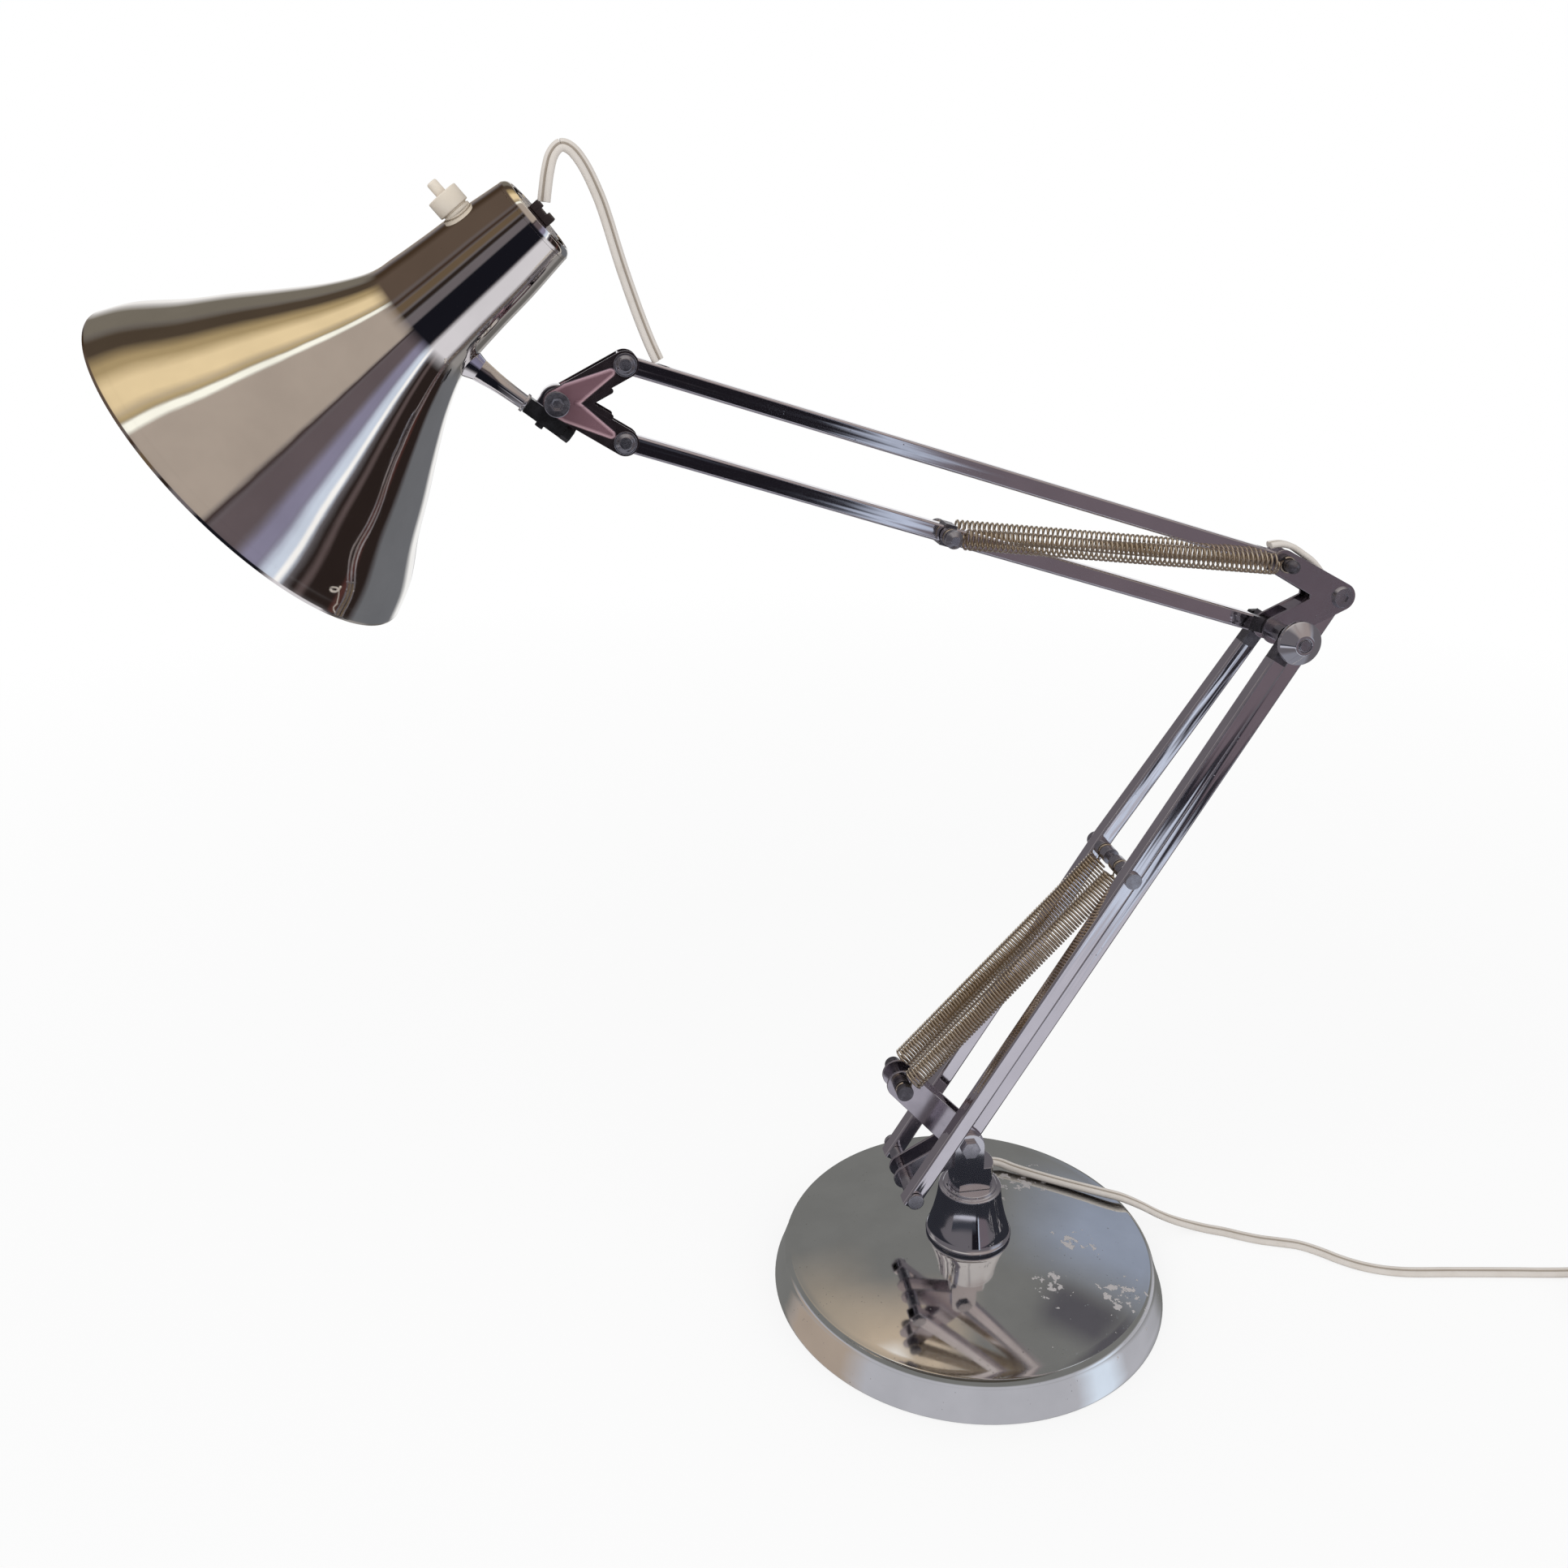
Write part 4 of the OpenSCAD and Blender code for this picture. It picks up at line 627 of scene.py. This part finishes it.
# Bars and rods
for node, material in (("rear_bar", lowBarChrome), ("front_bar_near", lowBarChrome), ("front_bar_far", lowBarChrome),
                       ("top_rod", topBarChrome), ("bottom_rod", topBarChrome)):
    softened(node, node.title().replace("_", ""), material, 0.2)
for node, material, width in (("front_bar_ends", darkSteel, 0.5), ("bottom_rod_end", darkSteel, 0.5),
                              ("spring_clamp", darkSteel, 0.4), ("spring_clamp_pin", greySteel, 0.3),
                              ("front_spring_pin", greySteel, 0.3)):
    softened(node, node.title().replace("_", ""), material, width)
for node in ("rear_bar_lead", "top_rod_lead"):
    finish(nodes[node], cordRubber)
print("bars made")


# Springs: a hook round each pin and a closely wound body
springs = {
    "lower": {"outside": 12.1, "wire": 1.32, "turns": 84, "y": 10.5},
    "upper": {"outside": 11.4, "wire": 1.2, "turns": 64, "y": 10.6},
}
pinWaist = 3.2


def springLine(start, end, kind, y):
    size = springs[kind]
    axis = (end - start).normalized()
    span = (end - start).length
    side = Vector((0, 1, 0))
    lift = axis.cross(side)
    mean = (size["outside"] - size["wire"]) / 2
    hook = pinWaist + size["wire"] / 2 + 0.05
    body = span - 2 * (hook + 2.2)
    steps = 16 * size["turns"]
    line = [start + hook * (cos(radians(a)) * axis + sin(radians(a)) * lift) for a in range(50, 331, 14)]
    for i in range(steps + 1):
        turn = 2 * pi * i / 16
        swell = min(1, i / 10, (steps - i) / 10)
        swell = swell * (2 - swell)
        line.append(start + (hook + 2.2 + body * i / steps) * axis + mean * swell * (cos(turn) * lift + sin(turn) * side))
    line += [end - hook * (cos(radians(a)) * axis + sin(radians(a)) * lift) for a in range(-30, 311, 14)]
    return [p + y * side for p in line]


def makeSpring(name, start, end, kind, y, replaced):
    data = bpy.data.curves.new(name, "CURVE")
    data.dimensions = "3D"
    data.bevel_depth = springs[kind]["wire"] / 2 * mm
    data.bevel_resolution = 1
    data.use_fill_caps = True
    line = springLine(start, end, kind, y)
    spline = data.splines.new("POLY")
    spline.points.add(len(line) - 1)
    for point, place in zip(spline.points, line):
        point.co = (*(place * mm), 1)
    curve = bpy.data.objects.new(name + "Line", data)
    mesh = bpy.data.meshes.new_from_object(curve)
    mesh.name = name
    bpy.data.objects.remove(curve)
    bpy.data.curves.remove(data)
    mesh.materials.clear()
    mesh.materials.append(springSteel)
    for polygon in mesh.polygons:
        polygon.use_smooth = True
    spring = bpy.data.objects.new(name, mesh)
    bpy.context.scene.collection.objects.link(spring)
    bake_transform(spring)
    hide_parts(replaced)


for label, sign in (("Near", -1), ("Far", 1)):
    makeSpring("lowerSpring" + label, hookPin, lowSpringPin, "lower", sign * springs["lower"]["y"],
               "lower_springs")
    makeSpring("upperSpring" + label, topSpringPin, rodPivot, "upper", sign * springs["upper"]["y"],
               "upper_springs")
print("springs made")

# Elbow: bracket, rivets, bolt and clamping knob
softened("elbow_bracket", "elbowBracket", bracketChrome, 0.45)
for node, material, width in (("rear_rivet", greySteel, 0.3), ("upper_spring_pin", darkSteel, 0.2),
                              ("elbow_bolt", greySteel, 0.4), ("elbow_spacer", greySteel, 0.25)):
    softened(node, node.title().replace("_", ""), material, width)


def blackenFarSide(name):
    data = bpy.data.objects[name].data
    data.materials.append(blackEnamel)
    for polygon in data.polygons:
        polygon.material_index = 1 if polygon.center.y > 0 else 0


blackenFarSide("ElbowBolt")
knob = {"back": 26.6, "skirt": 8.6, "radius": 11.4, "face": 5.2, "depth": 9.5, "recess": 3.6, "recessDepth": 1}


def makeKnob():
    d = knob["depth"]
    corners = [(3.05, 0), (knob["skirt"], 0), (knob["skirt"], 0.25 * d), (knob["radius"], 0.25 * d),
               (knob["radius"], 0.5 * d), (knob["face"], d), (knob["recess"], d),
               (knob["recess"], d - knob["recessDepth"]), (3.05, d - knob["recessDepth"])]
    place = axisPlace(knobPivot - Vector((0, knob["back"], 0)), (0, -1, 0), (0, 0, 1))
    turnedPiece("elbowKnob", roundedPath(corners, 0.5, 4), place, knobChrome, "knob", ("elbow_knob",), 96)


makeKnob()

# Yoke, its rivets and the tilt screw
softened("yoke", "yokePlates", yokePaintedReflectionChrome, 0.45)
for node, material, width in (("yoke_rivets", greySteel, 0.35), ("tilt_nut", darkSteel, 0.4), ("tilt_screw", greySteel, 0.5),
                              ("head_lug", brightChrome, 0.5), ("clamp_block", blackEnamel, 0.5),
                              ("block_screw", blackEnamel, 0.3), ("tube_nut", blackEnamel, 0.4)):
    softened(node, node.title().replace("_", ""), material, width)

# Tube between the block and the shade, with its collar
tube = {"near": 10.4, "collar": 1.6, "collarRadius": 4.6, "length": 28.7, "thin": 3.5, "wide": 5.6,
        "swell": [0, 0.06, 0.14, 0.24, 0.38, 0.6, 0.84, 1, 1]}


def makeTube():
    start = tube["near"]
    flare = [(tube["thin"] + (tube["wide"] - tube["thin"]) * share, start + tube["collar"] + (tube["length"] + 2.8) * i / 8)
             for i, share in enumerate(tube["swell"])]
    outline = [(0, -10.4 - 4.4), (2.2, -10.4 - 4.4), (2.2, start)] + roundedPath(
        [(2.2, start), (tube["collarRadius"], start), (tube["collarRadius"], start + tube["collar"]), flare[0]], 0.4, 3)[1:]
    outline += flare[1:] + [(0, flare[-1][1])]
    place = axisPlace(blockMiddle, -tubeDirection)
    turnedPiece("headTube", outline, place, brightChrome, "head", ("head_tube",), 48)
    softened("tube_boss", "tubeBoss", brightChrome, 0.4)


makeTube()

# Shade: stations give the distance from the cap and the radius, both as shares
shade = {"length": 173.5, "rim": 92, "wall": 1.0, "roll": 1.3, "lean": 220, "turn": 4.6, "tubeAt": 67, "capDepth": 4,
         "stations": [(0, 0.227), (0.06, 0.241), (0.15, 0.262), (0.25, 0.278), (0.35, 0.298), (0.42, 0.32), (0.52, 0.413),
                      (0.62, 0.534), (0.72, 0.664), (0.82, 0.786), (0.92, 0.928), (1, 1)]}


def neckRadius(t):
    stations = shade["stations"]
    share = t / shade["length"]
    for (a, ra), (b, rb) in zip(stations, stations[1:]):
        if share <= b:
            return shade["rim"] * (ra + (rb - ra) * (share - a) / (b - a))
    return shade["rim"]


neckPlace = blockMiddle - tubeDirection * (10.2 + 28.7 + 1.6)
shadePlace = (Matrix.Translation(neckPlace * mm) @ Matrix.Rotation(radians(-shade["lean"]), 4, "Y")
              @ Matrix.Rotation(radians(shade["turn"]), 4, "Z")
              @ Matrix.Translation(Vector((-shade["tubeAt"], 0, -neckRadius(shade["tubeAt"]))) * mm)
              @ Matrix.Rotation(radians(90), 4, "Y"))


def makeShade():
    line = smoothLine([(t * shade["length"], r * shade["rim"], 0) for t, r in shade["stations"]], 7)
    outer = [(p.y, p.x) for p in line if shade["capDepth"] < p.x < shade["length"] - 1.5]
    outer.insert(0, (neckRadius(shade["capDepth"]), shade["capDepth"]))
    middle, roll = shade["rim"] - shade["roll"], shade["roll"]
    bead = [(middle + roll * cos(radians(a)), shade["length"] + roll * sin(radians(a))) for a in range(-30, 211, 20)]
    inner = [(r - shade["wall"], t) for r, t in reversed(outer)]
    bm = bmesh.new()
    spinProfile(bm, outer + bead + inner + [outer[0]], steps=160)
    inside = []
    for face in bm.faces:
        spot = face.calc_center_median() / mm
        r = hypot(spot.x, spot.y)
        line = next((ra + (rb - ra) * (spot.z - a) / max(b - a, 1e-6) for (ra, a), (rb, b) in zip(outer, outer[1:])
                     if a <= spot.z <= b), shade["rim"])
        if r < line - shade["wall"] / 2 and spot.z < shade["length"] - 2:
            inside.append(face)
    for face in inside:
        face.material_index = 1
    bmesh.ops.transform(bm, matrix=shadePlace, verts=bm.verts)
    piece = addObject("shadeShell", bm, shadeChrome, "head", ("shade",), 50)
    piece.data.materials.append(shadeInside)
    softened("end_cap", "endCap", shadeChrome, 0.35, segments=3)


makeShade()


# Two-jaw clamp that grips the flex at the cap
clamp = {"across": 11.5, "width": 10, "height": 4.4, "slot": 3.4}


def makeClamp():
    bm = bmesh.new()
    jaw = (clamp["across"] - clamp["slot"]) / 2
    for x, wide, low, high in ((-(clamp["slot"] + jaw) / 2, jaw, 0, clamp["height"]),
                               ((clamp["slot"] + jaw) / 2, jaw, 0, clamp["height"]), (0, clamp["slot"] + 1, 0, 3.1)):
        cube = bmesh.ops.create_cube(bm, size=1)["verts"]
        bmesh.ops.scale(bm, vec=(wide * mm, clamp["width"] * mm, (high - low) * mm), verts=cube)
        bmesh.ops.translate(bm, vec=(x * mm, 0, -(low + high) / 2 * mm), verts=cube)
    bmesh.ops.bevel(bm, geom=bm.edges[:], offset=0.5 * mm, offset_type="OFFSET", segments=3, profile=0.5,
                    affect="EDGES", clamp_overlap=True, material=-1)
    bmesh.ops.transform(bm, matrix=shadePlace, verts=bm.verts)
    addObject("flexClamp", bm, brownPlastic, "head", ("cord_clamp",))


makeClamp()

# Lampholder and bulb inside the neck
holder = {"radius": 13.5, "length": 44, "from": 1.6, "socket": 22, "thread": 12}
bulbSize = {"globe": 27, "end": 138, "neck": 26}


def makeHolder():
    a, b = holder["from"], holder["from"] + holder["length"]
    r = holder["radius"]
    outline = [(0, a)] + roundedPath([(0, a), (r, a), (r, b - 14), (r - 0.8, b - 13.4), (r - 0.8, b - 11.5), (r, b - 11),
                                      (r, b), (holder["thread"] + 0.1, b), (holder["thread"] + 0.1, b - holder["socket"]),
                                      (0, b - holder["socket"])], 0.6, 3)[1:]
    turnedPiece("lampHolder", outline, shadePlace, glaze, "head", ("lampholder",), 64)
    low = b - holder["socket"]
    globe, middle = bulbSize["globe"], bulbSize["end"] - bulbSize["globe"]
    neck = [(0, low), (11.6, low), (11.6, low + bulbSize["neck"] - 4)]
    swell = [(12.2, low + bulbSize["neck"]), (13.6, low + bulbSize["neck"] + 6), (17.2, middle - 19), (21.5, middle - 15.8)]
    ball = [(globe * cos(radians(e)), middle + globe * sin(radians(e))) for e in range(-30, 90, 6)]
    outline = neck + [(p.x, p.y) for p in smoothLine([(x, y, 0) for x, y in [neck[-1]] + swell + ball[:1]], 4)][1:] + ball[1:]
    outline.append((0, bulbSize["end"]))
    turnedPiece("opalBulb", outline, shadePlace, opalGlass, "head", ("bulb",), 64)


makeHolder()

# Push switch on the neck: body with a thin lower ring, and a round-tipped plunger
switch = {"at": 26, "diameter": 14.9, "height": 9.7, "groove": 1.4, "button": 5, "buttonHeight": 6.6}


def makeSwitch():
    seat = neckRadius(switch["at"])
    place = shadePlace @ Matrix.Translation(Vector((0, 0, switch["at"])) * mm) @ Matrix.Rotation(radians(90), 4, "Y")
    r, top = switch["diameter"] / 2, seat + switch["height"]
    low = seat + switch["groove"]
    outline = roundedPath([(0, seat - 3.5), (4.8, seat - 3.5), (4.8, seat - 1.2), (r - 0.8, seat - 1.2), (r - 0.8, seat + 0.7),
                           (r - 1.6, seat + 0.7), (r - 1.2, low), (r, low), (r, top), (switch["button"] / 2 + 0.5, top),
                           (switch["button"] / 2 + 0.5, top - 1), (switch["button"] / 2 + 0.1, top - 1),
                           (switch["button"] / 2 + 0.1, top - 9.2), (0, top - 9.2)], 0.7, 3)
    turnedPiece("switchBody", outline, place, creamPlastic, "head", ("switch_body",), 64)
    b, tip = switch["button"] / 2, top + switch["buttonHeight"]
    outline = roundedPath([(0, top - 5.5), (b, top - 5.5), (b, tip), (0, tip)], 1.8, 6)
    turnedPiece("switchButton", outline, place, creamPlastic, "button", ("switch_button",), 48)


makeSwitch()
print("head made")

# Flex over the joints
elbowRoute = [(146, 0, 423.85), (152, 0, 424.35), (158, 0, 422.85), (164, 0, 419.15), (170, 0, 414.85),
              (175, 0, 409.35), (178.4, 0, 403.95), (180.5, 0, 397.65)]
headRoute = [(-215.9, -7.2, 592.25), (-215.2, -7, 597), (-213.8, -6.4, 605), (-211.6, -5.9, 612.2),
             (-207.6, -5.4, 616.2), (-202.6, -5, 614.2), (-197.2, -4.7, 606.8),
             (-191.8, -4.1, 595), (-188.4, -3.6, 585), (-185.2, -3, 574),
             (-182.2, -2.4, 564), (-178.6, -1.8, 553), (-174.8, -1.2, 542), (-170.6, -0.6, 531), (-166.6, 0, 521.95)]


def acrossArms(ahead):
    side = Vector((0, 1, 0))
    return cos(radians(50)) * side + sin(radians(50)) * ahead.cross(side)


def flatAcross(ahead):
    return Vector((0, 1, 0))


def bridgingLead(name, route, first, last, replaced, sideways):
    steps = 6
    line = smoothLine(route, steps)[first * steps:last * steps + 1]
    piece = leadPiece(name, line, sideways, None, (replaced,))
    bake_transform(piece)
    length = sum((b - a).length for a, b in zip(line, line[1:])) * mm
    return piece, line, length


bridgingLead("elbowLeadHigh", elbowRoute, 0, 3, "elbow_lead_high", flatAcross)
bridgingLead("elbowLeadLow", elbowRoute, 3, 7, "elbow_lead_low", flatAcross)
bridgingLead("headLeadStart", headRoute, 0, 4, "head_lead_start", acrossArms)
bridgingLead("headLeadMiddle", headRoute, 4, 9, "head_lead_middle", acrossArms)
bridgingLead("headLeadEnd", headRoute, 9, 14, "head_lead_end", acrossArms)
print("flex made")


# Studio: pale floor, soft lamps, and a dome of cards that only the metal sees. As the walls of a room do, it shows
# something else to the base, to the shade and to the arms.
studio = {"floorSize": 8, "floorTone": "#f6f6f6", "worldLevel": 0.72, "keyPower": 11, "fillPower": 4, "domeRadius": 7,
          "domeTone": "#6a666a", "baseTone": "#767675", "secondTone": "#303138", "axis": (-0.7636, 0.0802, -0.6407)}
# name, azimuth from straight behind the lamp, height, half width, half height, softness, tone
armCards = [
    ("lowFloor", 0, -75, 180, 27, 6, "#8a8a92"),
    ("paleBehind", 15, 0, 30, 12, 6, "#f0f0f2"),
    ("paleRight", 118, 14, 16, 16, 6, "#a4a8b4"),
    ("ceiling", 0, 70, 180, 24, 10, "#c2bcb8"),
    ("taupeFront", 150, 38, 44, 18, 9, "#a09490"),
    ("mauveWall", 152, -15, 14, 12, 5, "#6e646a"),
    ("darkFront", 176, -10, 9.5, 9, 1.5, "#1c1a1f"),
    ("coolSlit", 166, -9, 1.2, 12, 0.8, "#c6d2e4"),
    ("blackSlit", 158, -21.5, 16, 1.6, 1, "#202026"),
    ("coolLedge", 158, -25, 18, 1.5, 1, "#d2deee"),
    ("palePavement", 162, -33, 20, 6.5, 1.2, "#c2c2ca"),
    ("cupDark", -150, -14, 36, 2.6, 1.4, "#3c3e46"),
    ("cupPale", -150, -21, 36, 3.4, 1.4, "#c4c4ce"),
    ("leftPale", -60, 20, 8, 22, 4, "#aaa6a4"),
]
baseCards = [
    ("coolRight", 39, 30, 12, 10, 5, "#929aac"),
    ("warmLeft", -9, 52, 8, 9, 5, "#9a9084"),
    ("warmFront", 5, 61, 12, 9, 5, "#bcab98"),
    ("curtain", 38, 48, 6, 4, 2, "#56545a"),
    ("whiteLamp", 0, 63, 4, 3.4, 1.8, "#ffffff"),
    ("coolLamp", 46.5, 58, 3.2, 2.6, 1.2, "#eef4ff"),
    ("darkRidge", 0, 84, 180, 14, 3, "#48443f"),
    ("paleSide", 180, -8, 124, 22, 8, "#b4b4bc"),
    ("warmSide", -78, -16, 26, 14, 8, "#ab9c90"),
    ("brightSide", 120, -12, 11, 14, 6, "#dbe6f6"),
]
# name, angle round the shade's axis, half width, softness, tone: first the wide cone, then the neck
coneCards = [
    ("greyRight", -164, 18, 2, "#6a6c71"),
    ("darkRight", -134, 12.5, 1.6, "#29211f"),
    ("redGlint", -138, 1.1, 0.8, "#4e302c"),
    ("dullStripe", -125.5, 1.2, 0.8, "#5a4e4e"),
    ("coolWindow", -116, 3.6, 1, "#cdd8ea"),
    ("whiteSlit", -118.2, 0.9, 0.5, "#ffffff"),
    ("violetHaze", -109, 4, 2, "#85829a"),
    ("smoke", -101, 5, 2, "#60565a"),
    ("darkLine", -95.5, 0.7, 0.6, "#3c3030"),
    ("taupeWall", -80.5, 14, 1, "#aa9e94"),
    ("windowSlit", -65.4, 1.5, 0.7, "#fffff4"),
    ("oliveGap", -62.8, 0.9, 0.6, "#94825e"),
    ("goldFade", -47, 11, 5, "#a8946e"),
    ("goldWall", -55.5, 6, 3, "#e8d2a8"),
    ("brownEdge", -35.5, 6, 3, "#4c4136"),
    ("greyLeft", -21, 9, 3, "#746e64"),
    ("paleRim", 0, 12, 5, "#f0eeec"),
    ("paleRimRight", 180, 7, 3, "#f4f4f4"),
]
neckCards = [
    ("paleUnder", -172, 6, 2, "#a8a6a4"),
    ("greyUnder", -160, 6, 2, "#686664"),
    ("greySoft", -149, 6, 2, "#918e8d"),
    ("darkSlit", -140.5, 1.6, 1, "#58544f"),
    ("whiteBand", -126, 10, 2, "#d4d2d8"),
    ("blackBand", -103, 11, 1.2, "#16161d"),
    ("blueGrey", -88.5, 3, 1.2, "#6a6468"),
    ("umber", -82, 2, 1, "#2c2420"),
    ("oliveStripe", -75, 3.4, 1.5, "#665644"),
    ("umberLine", -69, 1.8, 1.2, "#40322a"),
    ("brownWall", -48, 18, 3, "#5c4e44"),
    ("brownEdge", -30, 6, 4, "#423428"),
    ("paleEdge", -3, 14, 7, "#a09488"),
]


def cardShape(tree, value, middle, half, soft):
    # 1 inside the card and 0 outside, along one angle in degrees
    away = addNode(tree, "ShaderNodeMath", {0: mathNode(tree, "SUBTRACT", value, middle), 1: 180.0, 2: -180.0},
                   operation="WRAP").outputs[0]
    return spread(tree, mathNode(tree, "ABSOLUTE", away), half + soft, max(half - soft, 0))


def vectorMath(tree, operation, a, b=(0, 0, 0), output=0):
    return addNode(tree, "ShaderNodeVectorMath", {0: a, 1: b}, operation=operation).outputs[output]


def degreesOf(tree, radiansValue):
    return mathNode(tree, "MULTIPLY", radiansValue, 180 / pi)


def makeDome():
    bm = bmesh.new()
    bmesh.ops.create_uvsphere(bm, u_segments=48, v_segments=24, radius=studio["domeRadius"])
    mesh = bpy.data.meshes.new("studioDome")
    bm.to_mesh(mesh)
    bm.free()
    dome = bpy.data.objects.new("studioDome", mesh)
    bpy.context.scene.collection.objects.link(dome)
    material = bpy.data.materials.new("studioCards")
    material.use_nodes = True
    tree = material.node_tree
    tree.nodes.clear()
    geometry = addNode(tree, "ShaderNodeNewGeometry").outputs
    path = addNode(tree, "ShaderNodeLightPath").outputs
    reach = path["Ray Length"]
    back = vectorMath(tree, "MULTIPLY", geometry["Incoming"], reach)
    start = vectorMath(tree, "ADD", geometry["Position"], back)
    ray = vectorMath(tree, "NORMALIZE", vectorMath(tree, "MULTIPLY", geometry["Incoming"], (-1, -1, -1)))
    split = addNode(tree, "ShaderNodeSeparateXYZ", {0: ray}).outputs
    azimuth = degreesOf(tree, mathNode(tree, "ARCTAN2", split[0], split[1]))
    height = degreesOf(tree, mathNode(tree, "ARCSINE", split[2]))
    tones = []
    for cards, plain in ((armCards, "domeTone"), (baseCards, "baseTone")):
        tone = linear(studio[plain])
        for name, az, el, halfAz, halfEl, soft, colour in cards:
            inside = mathNode(tree, "MULTIPLY", cardShape(tree, azimuth, az, halfAz, soft),
                              cardShape(tree, height, el, halfEl, soft), True)
            tone = mixColour(tree, inside, tone, linear(colour))
        tones.append(tone)
    # which way the metal faces, seen from the photograph's place
    sight = vectorMath(tree, "NORMALIZE", vectorMath(tree, "SUBTRACT", start, Vector(photo["place"]) * mm))
    facing = vectorMath(tree, "NORMALIZE", vectorMath(tree, "SUBTRACT", ray, sight))
    axis = Vector(studio["axis"]).normalized()
    up = (Vector((0, 0, 1)) - axis * axis.z).normalized()
    angle = degreesOf(tree, mathNode(tree, "ARCTAN2", vectorMath(tree, "DOT_PRODUCT", facing, axis.cross(up), "Value"),
                                     vectorMath(tree, "DOT_PRODUCT", facing, up, "Value")))
    lean = vectorMath(tree, "DOT_PRODUCT", facing, axis, "Value")
    for cards in (coneCards, neckCards):
        tone = linear(studio["domeTone"])
        for name, middle, half, soft, colour in cards:
            tone = mixColour(tree, cardShape(tree, angle, middle, half, soft), tone, linear(colour))
        tones.append(tone)
    arms, base, cone, neck = tones
    base = mixColour(tree, spread(tree, path["Ray Depth"], 1.2, 1.8), base, linear(studio["secondTone"]))
    place = addNode(tree, "ShaderNodeSeparateXYZ", {0: start}).outputs
    head = mixColour(tree, spread(tree, lean, -0.22, -0.4), neck, cone)
    atHead = mathNode(tree, "MAXIMUM", spread(tree, place[0], -0.23, -0.24), spread(tree, place[2], 0.53, 0.54))
    atBase = spread(tree, place[2], 0.0306, 0.0302)
    tone = mixColour(tree, atBase, mixColour(tree, atHead, arms, head), base)
    glow = addNode(tree, "ShaderNodeEmission", {"Color": tone, "Strength": 1.0})
    addNode(tree, "ShaderNodeOutputMaterial", {"Surface": glow.outputs[0]})
    material.cycles.emission_sampling = "NONE"
    mesh.materials.append(material)
    dome.location = (0, 0, 0.3)
    for kind in ("camera", "diffuse", "shadow", "transmission", "volume_scatter"):
        setattr(dome, "visible_" + kind, False)


def makeFloor():
    bm = bmesh.new()
    bmesh.ops.create_grid(bm, x_segments=2, y_segments=2, size=studio["floorSize"] / 2)
    mesh = bpy.data.meshes.new("studioFloor")
    bm.to_mesh(mesh)
    bm.free()
    floor = bpy.data.objects.new("studioFloor", mesh)
    bpy.context.scene.collection.objects.link(floor)
    material = bpy.data.materials.new("paleFloor")
    material.use_nodes = True
    tree = material.node_tree
    tree.nodes.clear()
    coords = addNode(tree, "ShaderNodeTexCoord").outputs["Object"]
    far = spread(tree, addNode(tree, "ShaderNodeVectorMath", {0: coords}, operation="LENGTH").outputs["Value"], 0.5, 1.6)
    seen = addNode(tree, "ShaderNodeLightPath").outputs["Is Camera Ray"]
    matte = addNode(tree, "ShaderNodeBsdfDiffuse", {"Color": linear(studio["floorTone"])})
    white = addNode(tree, "ShaderNodeEmission", {"Color": (1, 1, 1, 1), "Strength": 1.0})
    amount = mathNode(tree, "MULTIPLY", spread(tree, far, 0, 1, 0.82, 1.0), seen)
    surface = addNode(tree, "ShaderNodeMixShader", {0: amount, 1: matte.outputs[0], 2: white.outputs[0]})
    addNode(tree, "ShaderNodeOutputMaterial", {"Surface": surface.outputs[0]})
    mesh.materials.append(material)
    floor.visible_glossy = False


def makeLamp(name, place, power, size):
    data = bpy.data.lights.new(name, "AREA")
    data.energy, data.shape, data.size = power, "DISK", size
    lamp = bpy.data.objects.new(name, data)
    bpy.context.scene.collection.objects.link(lamp)
    lamp.location = place
    lamp.rotation_euler = (Vector((0, 0, 0.3)) - Vector(place)).to_track_quat("-Z", "Y").to_euler()
    lamp.visible_glossy = False


def makeWorld():
    world = bpy.data.worlds.new("paleStudio")
    bpy.context.scene.world = world
    world.use_nodes = True
    tree = world.node_tree
    tree.nodes.clear()
    path = addNode(tree, "ShaderNodeLightPath").outputs
    clear = mathNode(tree, "MAXIMUM", path["Is Camera Ray"], mathNode(tree, "MAXIMUM", path["Is Glossy Ray"], path["Is Transmission Ray"]))
    dim = addNode(tree, "ShaderNodeBackground", {"Color": (1, 1, 1, 1), "Strength": studio["worldLevel"]})
    bright = addNode(tree, "ShaderNodeBackground", {"Color": (1, 1, 1, 1), "Strength": 1.0})
    both = addNode(tree, "ShaderNodeMixShader", {0: clear, 1: dim.outputs[0], 2: bright.outputs[0]})
    addNode(tree, "ShaderNodeOutputWorld", {"Surface": both.outputs[0]})


makeDome()
makeFloor()
makeLamp("keyLamp", (-1.2, -1.0, 1.8), studio["keyPower"], 1.2)
makeLamp("fillLamp", (1.4, -1.2, 1.0), studio["fillPower"], 1.2)
makeWorld()
bpy.context.scene.view_settings.view_transform = "Standard"
print("studio made")
